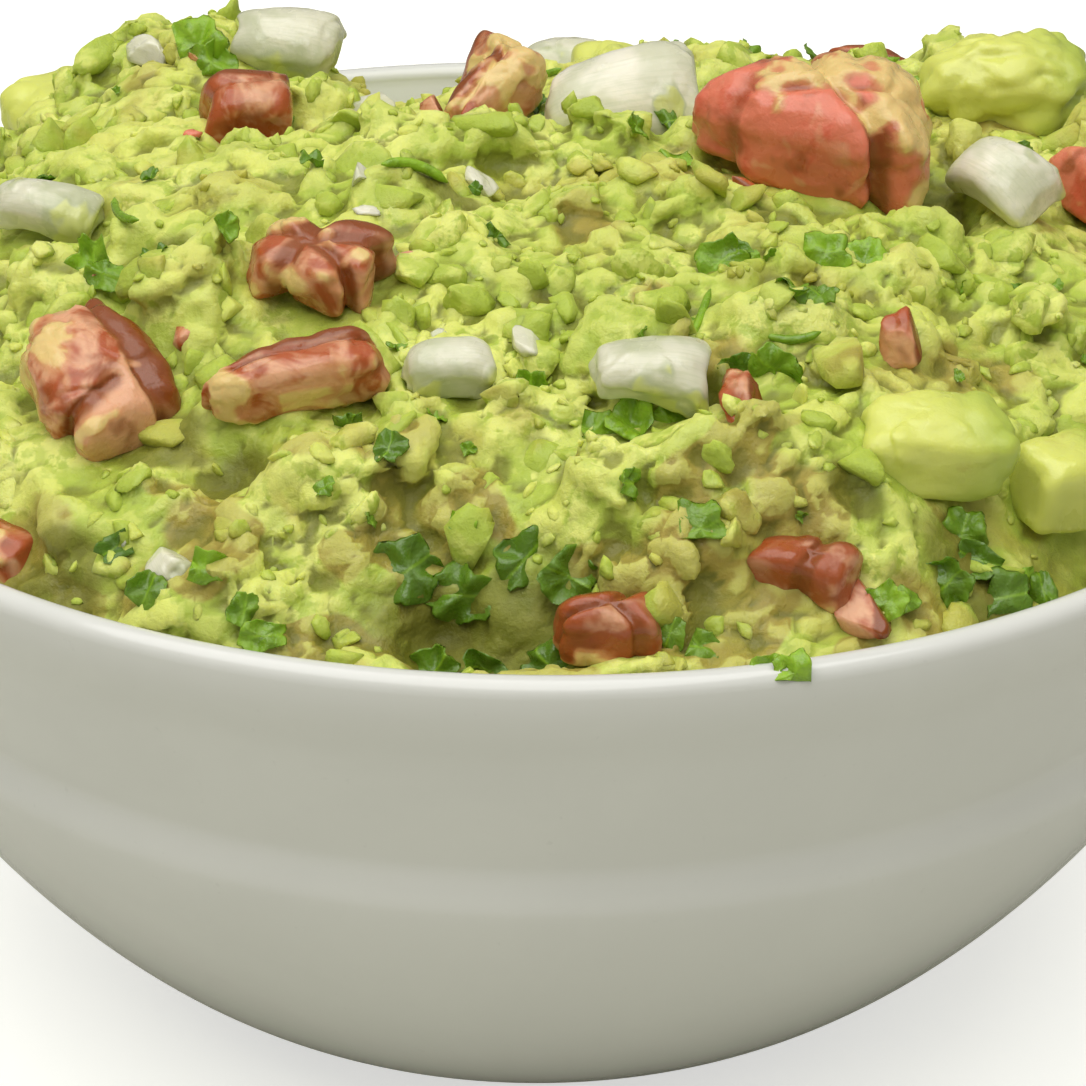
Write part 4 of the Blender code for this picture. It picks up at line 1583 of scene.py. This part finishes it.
# --- settings ------------------------------------------------------------------------------------


def color_property(label, about, default):
    return FloatVectorProperty(
        name=label, description=about, subtype="COLOR", size=3, min=0.0, max=1.0, default=default
    )


class GuacBowlSettings(bpy.types.PropertyGroup):
    segments: IntProperty(
        name="Segments", description="Steps round the bowl", default=224, min=48, max=512
    )
    glaze_color: color_property("Glaze", "Colour of the bowl's glaze", (0.71, 0.71, 0.66))


class GuacMashSettings(bpy.types.PropertyGroup):
    grid: IntProperty(
        name="Grid", description="Points along each side of the bed's surface", default=240, min=60, max=310
    )
    fineness: FloatProperty(
        name="Fineness", description="Spacing of the mash's surface points, in millimetres", default=0.67
    )
    dome_height: FloatProperty(
        name="Dome height", description="Height of the heap above the rim, in millimetres", default=17.5
    )
    settle: FloatProperty(
        name="Settle", description="How far the bed lies under the heap's surface, in millimetres", default=1.4
    )
    crest: FloatProperty(
        name="Crest", description="Most that a lump stands out at the back, in millimetres", default=1.3
    )
    lump_size: FloatProperty(
        name="Lump size", description="Distance between the bed's lumps, in millimetres", default=11.0
    )
    lump_low: FloatProperty(
        name="Smallest lump", description="Radius of the smallest sunk lump, in millimetres", default=2.2
    )
    lump_high: FloatProperty(
        name="Largest lump", description="Radius of the largest sunk lump, in millimetres", default=4.8
    )
    lumps: IntProperty(name="Lumps", description="Lumps half sunk in the bed", default=230)
    loose: IntProperty(name="Loose lumps", description="Smaller lumps lying on the mash", default=620)
    crumbs: IntProperty(name="Crumbs", description="Crumbs lying on the mash", default=800)
    seed: IntProperty(name="Seed", description="Chooses where the loose lumps fall", default=4)
    # Pale: the mash's own palest tone, also laid on the crests as painted light.
    pale_color: color_property("Pale", "Crests of the mash", (0.72, 0.75, 0.20))
    green_color: color_property("Green", "Main colour of the mash", (0.42, 0.52, 0.068))
    olive_color: color_property("Olive", "Patches that have turned", (0.50, 0.45, 0.09))
    brown_color: color_property("Brown", "Small browned patches", (0.34, 0.25, 0.045))
    # Painted shade laid on mash that lies low.
    painted_low_shade_color: color_property("Shade", "Mash that lies low", (0.30, 0.33, 0.035))
    # Painted shade laid in deep hollows and in the gaps between pieces.
    painted_hollow_shade_color: color_property("Hollow", "Deep gaps", (0.15, 0.15, 0.012))
    butter_color: color_property("Butter", "Yellow flesh near the stone", (0.68, 0.71, 0.15))


class GuacToppingSettings(bpy.types.PropertyGroup):
    seed: IntProperty(name="Seed", description="Chooses where the small bits fall", default=9)
    smear_color: color_property("Smear", "Mash wiped over onion", (0.62, 0.64, 0.20))
    smear_thin_color: color_property("Thin smear", "Mash wiped thin over red", (0.64, 0.30, 0.12))
    smear_thick_color: color_property("Thick smear", "Mash lying on red", (0.78, 0.60, 0.22))
    tomato_color: color_property("Tomato", "Red flesh", (0.42, 0.090, 0.022))
    tomato_pale_color: color_property("Tomato pale", "Pink flesh", (0.72, 0.37, 0.20))
    tomato_fresh_color: color_property("Tomato fresh", "Flesh of the brightest pieces", (0.73, 0.125, 0.075))
    tomato_vein_color: color_property("Tomato veins", "Whitish veins", (0.80, 0.48, 0.28))
    # Tomato skin, also used as painted shade in the grooves.
    tomato_skin_and_groove_shade_color: color_property("Tomato skin", "Dark skin", (0.24, 0.060, 0.010))
    onion_color: color_property("Onion", "White flesh", (0.82, 0.78, 0.63))
    onion_grey_color: color_property("Onion grey", "Glassy parts", (0.46, 0.49, 0.28))
    onion_line_color: color_property("Onion lines", "Lines along a petal", (0.50, 0.53, 0.32))


class GuacHerbSettings(bpy.types.PropertyGroup):
    leaves: IntProperty(name="Leaves", description="Chopped leaves scattered at random", default=90)
    stems: IntProperty(name="Stems", description="Short stems scattered at random", default=26)
    seed: IntProperty(name="Seed", description="Chooses where the herbs fall", default=12)
    leaf_dark_color: color_property("Dark leaf", "Deep green", (0.085, 0.175, 0.010))
    leaf_light_color: color_property("Light leaf", "Fresh green", (0.29, 0.49, 0.020))


class GuacStageSettings(bpy.types.PropertyGroup):
    floor_size: FloatProperty(
        name="Floor", description="Side of the floor", subtype="DISTANCE", unit="LENGTH", default=6.0
    )
    floor_color: color_property("Floor colour", "Colour of the floor", (0.64, 0.64, 0.565))
    floor_glow: FloatProperty(name="Floor glow", description="Brightness added to the floor as seen", default=0.60)
    overhead: FloatProperty(name="Overhead", description="Power of the overhead light", default=11.5)
    fill: FloatProperty(name="Fill", description="Power of the front light", default=0.6)
    ceiling: FloatProperty(name="Ceiling", description="Brightness of the room above", default=0.42)
    walls: FloatProperty(name="Walls", description="Brightness of the room at eye level", default=0.16)


# --- operators -----------------------------------------------------------------------------------


class GUAC_OT_bowl(bpy.types.Operator):
    """Adds the glazed bowl"""

    bl_idname = "guacamole.add_bowl"
    bl_label = "Bowl"

    def execute(self, context):
        settings = context.scene.guacamole_bowl
        points, quads, ends = turned(bowl_section(), settings.segments)
        finish = glaze_material(settings)
        bowl = add_piece("glazed_bowl", points, quads, ends, finish, "bowl_glaze")
        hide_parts("bowl")
        return {"FINISHED"}


class GUAC_OT_mash(bpy.types.Operator):
    """Adds the crushed avocado over the whole heap"""

    bl_idname = "guacamole.add_mash"
    bl_label = "Mash"

    def execute(self, context):
        settings = context.scene.guacamole_mash
        points, quads, bottom, fields = mash_skin(settings)
        finish = mash_material("mash_surface", settings)
        mash = add_piece("mash", points, quads, bottom, finish, "avocado_mash", fields)
        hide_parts("guacamole")
        return {"FINISHED"}


class GUAC_OT_crumbs(bpy.types.Operator):
    """Scatters loose crumbs of avocado over the mash"""

    bl_idname = "guacamole.add_crumbs"
    bl_label = "Loose crumbs"

    def execute(self, context):
        settings = context.scene.guacamole_mash
        random = np.random.default_rng(settings.seed + 1)
        finish = mash_material("loose_mash", settings, relief=False)
        kinds = (
            ("mash_lumps", settings.loose, (1.0, 2.8), -0.35, 0.34, (12, 8), 0.97),
            ("mash_crumbs", settings.crumbs, (0.45, 1.0), -0.1, 0.34, (8, 5), 0.85),
        )
        for name, count, radii, sink, rough, grid, clear in kinds:
            points, quads, ends, fields = bits_on(count, radii, random, sink, rough, grid, clear)
            add_piece(name, points, quads, ends, finish, "avocado_mash", fields)
        return {"FINISHED"}


class GUAC_OT_pieces(bpy.types.Operator):
    """Adds the diced tomato, onion petals and avocado lumps in their places"""

    bl_idname = "guacamole.add_pieces"
    bl_label = "Tomato, onion and avocado"

    def execute(self, context):
        settings = context.scene.guacamole_toppings
        groups = (
            (TOMATO, TOMATO_SHAPE, tomato_material(settings), "tomato_flesh"),
            (ONION, ONION_SHAPE, onion_material(settings), "onion_flesh"),
            (AVOCADO, AVOCADO_SHAPE, avocado_material(context.scene.guacamole_mash), "avocado_flesh"),
        )
        seed = 0
        for rows, shape, finish, slot in groups:
            for node, (yaw, roll, pitch, *size) in rows.items():
                seed += 1
                extras = GROOVES.get(node, ()), SMEARS.get(node, SMEAR)
                form = SHAPES.get(node, shape)
                points, fields, quads, ends = chunk(size, form, (yaw, roll, pitch), seed, *extras)
                points = fitted_to(points, node)
                fields["tone"] = np.full(len(points), PALENESS.get(node, PALE))
                piece = add_piece("cut_" + node, points, quads, ends, finish, slot, fields)
                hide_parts(node)
        return {"FINISHED"}


class GUAC_OT_bits(bpy.types.Operator):
    """Lays and scatters small tomato and onion bits over the mash"""

    bl_idname = "guacamole.add_bits"
    bl_label = "Small bits"

    def execute(self, context):
        settings = context.scene.guacamole_toppings
        random = np.random.default_rng(settings.seed)
        kinds = (
            ("tomato", TOMATO_BITS, 18, (0.8, 1.8), 0.8, "tomato_flesh"),
            ("onion", ONION_BITS, 18, (0.8, 1.9), 0.8, "onion_flesh"),
        )
        for name, laid, count, radii, square, slot in kinds:
            finish = bpy.data.materials[name + "_surface"]
            points, quads, ends, fields = laid_bits(laid, random, square)
            add_piece(name + "_small", points, quads, ends, finish, slot, fields)
            points, quads, ends, fields = bits_on(count, radii, random, -0.4, 0.35, (18, 11), 0.95)
            add_piece(name + "_bits", points, quads, ends, finish, slot, fields)
        return {"FINISHED"}


class GUAC_OT_herbs(bpy.types.Operator):
    """Lays and scatters chopped coriander leaves and stems"""

    bl_idname = "guacamole.add_herbs"
    bl_label = "Coriander"

    def execute(self, context):
        settings = context.scene.guacamole_herbs
        random = np.random.default_rng(settings.seed)
        points, normals = mash_top()
        finish = herb_material(settings)

        laid = np.array(LEAVES)
        nearest = nearest_top(points, laid)
        spare = free_share(points[:, 0], points[:, 1], 0.9)
        loose = random.choice(len(points), settings.leaves, p=spare / spare.sum(), replace=False)
        tilt = np.radians(laid[:, 4])[:, None]
        facing = np.cos(tilt) * (0, 0, 1) + np.sin(tilt) * (0, -1, 0)
        up = np.vstack([leaning(facing, 0.15, random), leaning(normals[loose], 0.5, random)])
        chosen = np.concatenate([nearest, loose])
        sizes = np.concatenate([0.9 * laid[:, 2], random.uniform(1.6, 4.6, settings.leaves)])
        turns = np.concatenate([np.radians(laid[:, 3]), random.uniform(0, 6.28, settings.leaves)])
        tones = np.concatenate([laid[:, 5], random.uniform(0, 0.8, settings.leaves)])
        shape, flat, quads, ends = leaf_shapes(len(chosen), sizes, random)
        axes = frames_on(up, turns)
        placed = np.einsum("nij,njk->nik", shape, axes)
        middle = points[chosen] + 0.35 * normals[chosen]
        middle[: len(laid), :2] = laid[:, :2]
        placed += middle[:, None]
        size = shape.shape[1]
        fields = {"tone": np.repeat(tones, size), "local": flat.reshape(-1, 3)}
        faces = copies(quads, len(chosen), size), copies(ends, len(chosen), size)
        add_piece("coriander_leaves", placed.reshape(-1, 3), *faces, finish, "herb_leaf", fields)

        chosen = random.choice(len(points), settings.stems, p=spare / spare.sum(), replace=False)
        ways = frames_on(normals[chosen], random.uniform(0, 6.28, settings.stems))
        lengths = random.uniform(3.0, 8.0, settings.stems)
        radius = random.uniform(0.3, 0.55, settings.stems)
        middle = points[chosen] + 0.2 * normals[chosen]
        placed, local, quads, ends = strips_along(middle, ways, lengths, radius, random)
        size = len(placed) // settings.stems
        fields = {"tone": np.repeat(random.uniform(0.5, 1.0, settings.stems), size), "local": local + (0, 9, 0)}
        faces = copies(quads, settings.stems, size), copies(ends, settings.stems, size)
        add_piece("coriander_stems", placed, *faces, finish, "herb_leaf", fields)
        return {"FINISHED"}


class GUAC_OT_stage(bpy.types.Operator):
    """Adds the pale floor, the soft lights and the camera"""

    bl_idname = "guacamole.add_stage"
    bl_label = "Stage"

    def execute(self, context):
        settings = context.scene.guacamole_stage
        half = settings.floor_size / 2
        mesh = bpy.data.meshes.new("floor")
        corners = [(-half, -half, 0), (half, -half, 0), (half, half, 0), (-half, half, 0)]
        mesh.from_pydata(corners, [], [(0, 1, 2, 3)])
        mesh.materials.append(floor_material(settings))
        floor = bpy.data.objects.new("floor", mesh)
        context.scene.collection.objects.link(floor)
        self.add_camera(context)
        self.add_lights(context)
        return {"FINISHED"}

    def add_camera(self, context):
        data = bpy.data.cameras.new("camera")
        data.sensor_width = SENSOR
        data.lens = CAMERA_LENS
        data.clip_start = 0.01
        camera = bpy.data.objects.new("camera", data)
        context.scene.collection.objects.link(camera)
        radius = RIM_RADIUS * MM
        rise = math.radians(CAMERA_ELEVATION)
        reach = CAMERA_REACH * radius
        place = Matrix.Translation(
            (CAMERA_ASIDE * radius, -reach * math.cos(rise), RIM_LEVEL * MM + reach * math.sin(rise))
        )
        look = Euler((math.radians(90 - CAMERA_PITCH), 0, 0)).to_matrix().to_4x4()
        roll = Matrix.Rotation(math.radians(CAMERA_ROLL), 4, "Z")
        camera.matrix_world = place @ look @ roll
        context.scene.camera = camera

    def add_lights(self, context):
        settings = context.scene.guacamole_stage
        lights = (
            ("overhead", (-0.12, -0.22, 1.0), 1.2, settings.overhead, (1.0, 0.99, 0.98)),
            ("front_fill", (0.20, -0.90, 0.75), 0.8, settings.fill, (1.0, 1.0, 1.0)),
        )
        for name, place, size, power, color in lights:
            data = bpy.data.lights.new(name, "AREA")
            data.shape = "SQUARE"
            data.size = size
            data.energy = power
            data.color = color
            light = bpy.data.objects.new(name, data)
            context.scene.collection.objects.link(light)
            light.location = place
            aim = -light.location.normalized()
            light.rotation_euler = aim.to_track_quat("-Z", "Y").to_euler()
        world = bpy.data.worlds.new("soft_room")
        world.use_nodes = True
        tree = Tree(world.node_tree)
        background = world.node_tree.nodes["Background"]
        way = tree.add("ShaderNodeTexCoord").outputs["Generated"]
        rise = tree.add("ShaderNodeSeparateXYZ", {"Vector": way}).outputs["Z"]
        share = tree.ramp(rise, 0.0, 1.0)
        color = tree.mix(share, (1.0, 1.0, 0.84, 1.0), (1.0, 1.0, 1.0, 1.0))
        tree.put(background.inputs["Color"], color)
        strength = tree.math("MULTIPLY_ADD", share, settings.ceiling - settings.walls, settings.walls)
        tree.put(background.inputs["Strength"], strength)
        context.scene.world = world
        context.scene.view_settings.view_transform = "Standard"


class GUAC_PT_panel(bpy.types.Panel):
    """Lists the bowl's settings and its steps"""

    bl_idname = "GUAC_PT_panel"
    bl_label = "Guacamole bowl"
    bl_space_type = "VIEW_3D"
    bl_region_type = "UI"
    bl_category = "Guacamole"

    def draw(self, context):
        for group in SETTINGS:
            box = self.layout.box()
            settings = getattr(context.scene, group)
            for name in settings.bl_rna.properties.keys():
                if name not in ("rna_type", "name"):
                    box.prop(settings, name)
        for step in STEPS:
            self.layout.operator(step.bl_idname)


SETTINGS = {
    "guacamole_bowl": GuacBowlSettings,
    "guacamole_mash": GuacMashSettings,
    "guacamole_toppings": GuacToppingSettings,
    "guacamole_herbs": GuacHerbSettings,
    "guacamole_stage": GuacStageSettings,
}
STEPS = (
    GUAC_OT_bowl,
    GUAC_OT_mash,
    GUAC_OT_crumbs,
    GUAC_OT_pieces,
    GUAC_OT_bits,
    GUAC_OT_herbs,
    GUAC_OT_stage,
)


def register():
    for made in (*SETTINGS.values(), *STEPS, GUAC_PT_panel):
        bpy.utils.register_class(made)
    for name, group in SETTINGS.items():
        setattr(bpy.types.Scene, name, PointerProperty(type=group))


def unregister():
    for name in SETTINGS:
        delattr(bpy.types.Scene, name)
    for made in reversed((*SETTINGS.values(), *STEPS, GUAC_PT_panel)):
        bpy.utils.unregister_class(made)


def main():
    register()
    bpy.ops.guacamole.add_bowl()
    bpy.ops.guacamole.add_mash()
    bpy.ops.guacamole.add_crumbs()
    bpy.ops.guacamole.add_pieces()
    bpy.ops.guacamole.add_bits()
    bpy.ops.guacamole.add_herbs()
    bpy.ops.guacamole.add_stage()


if __name__ == "__main__":
    main()
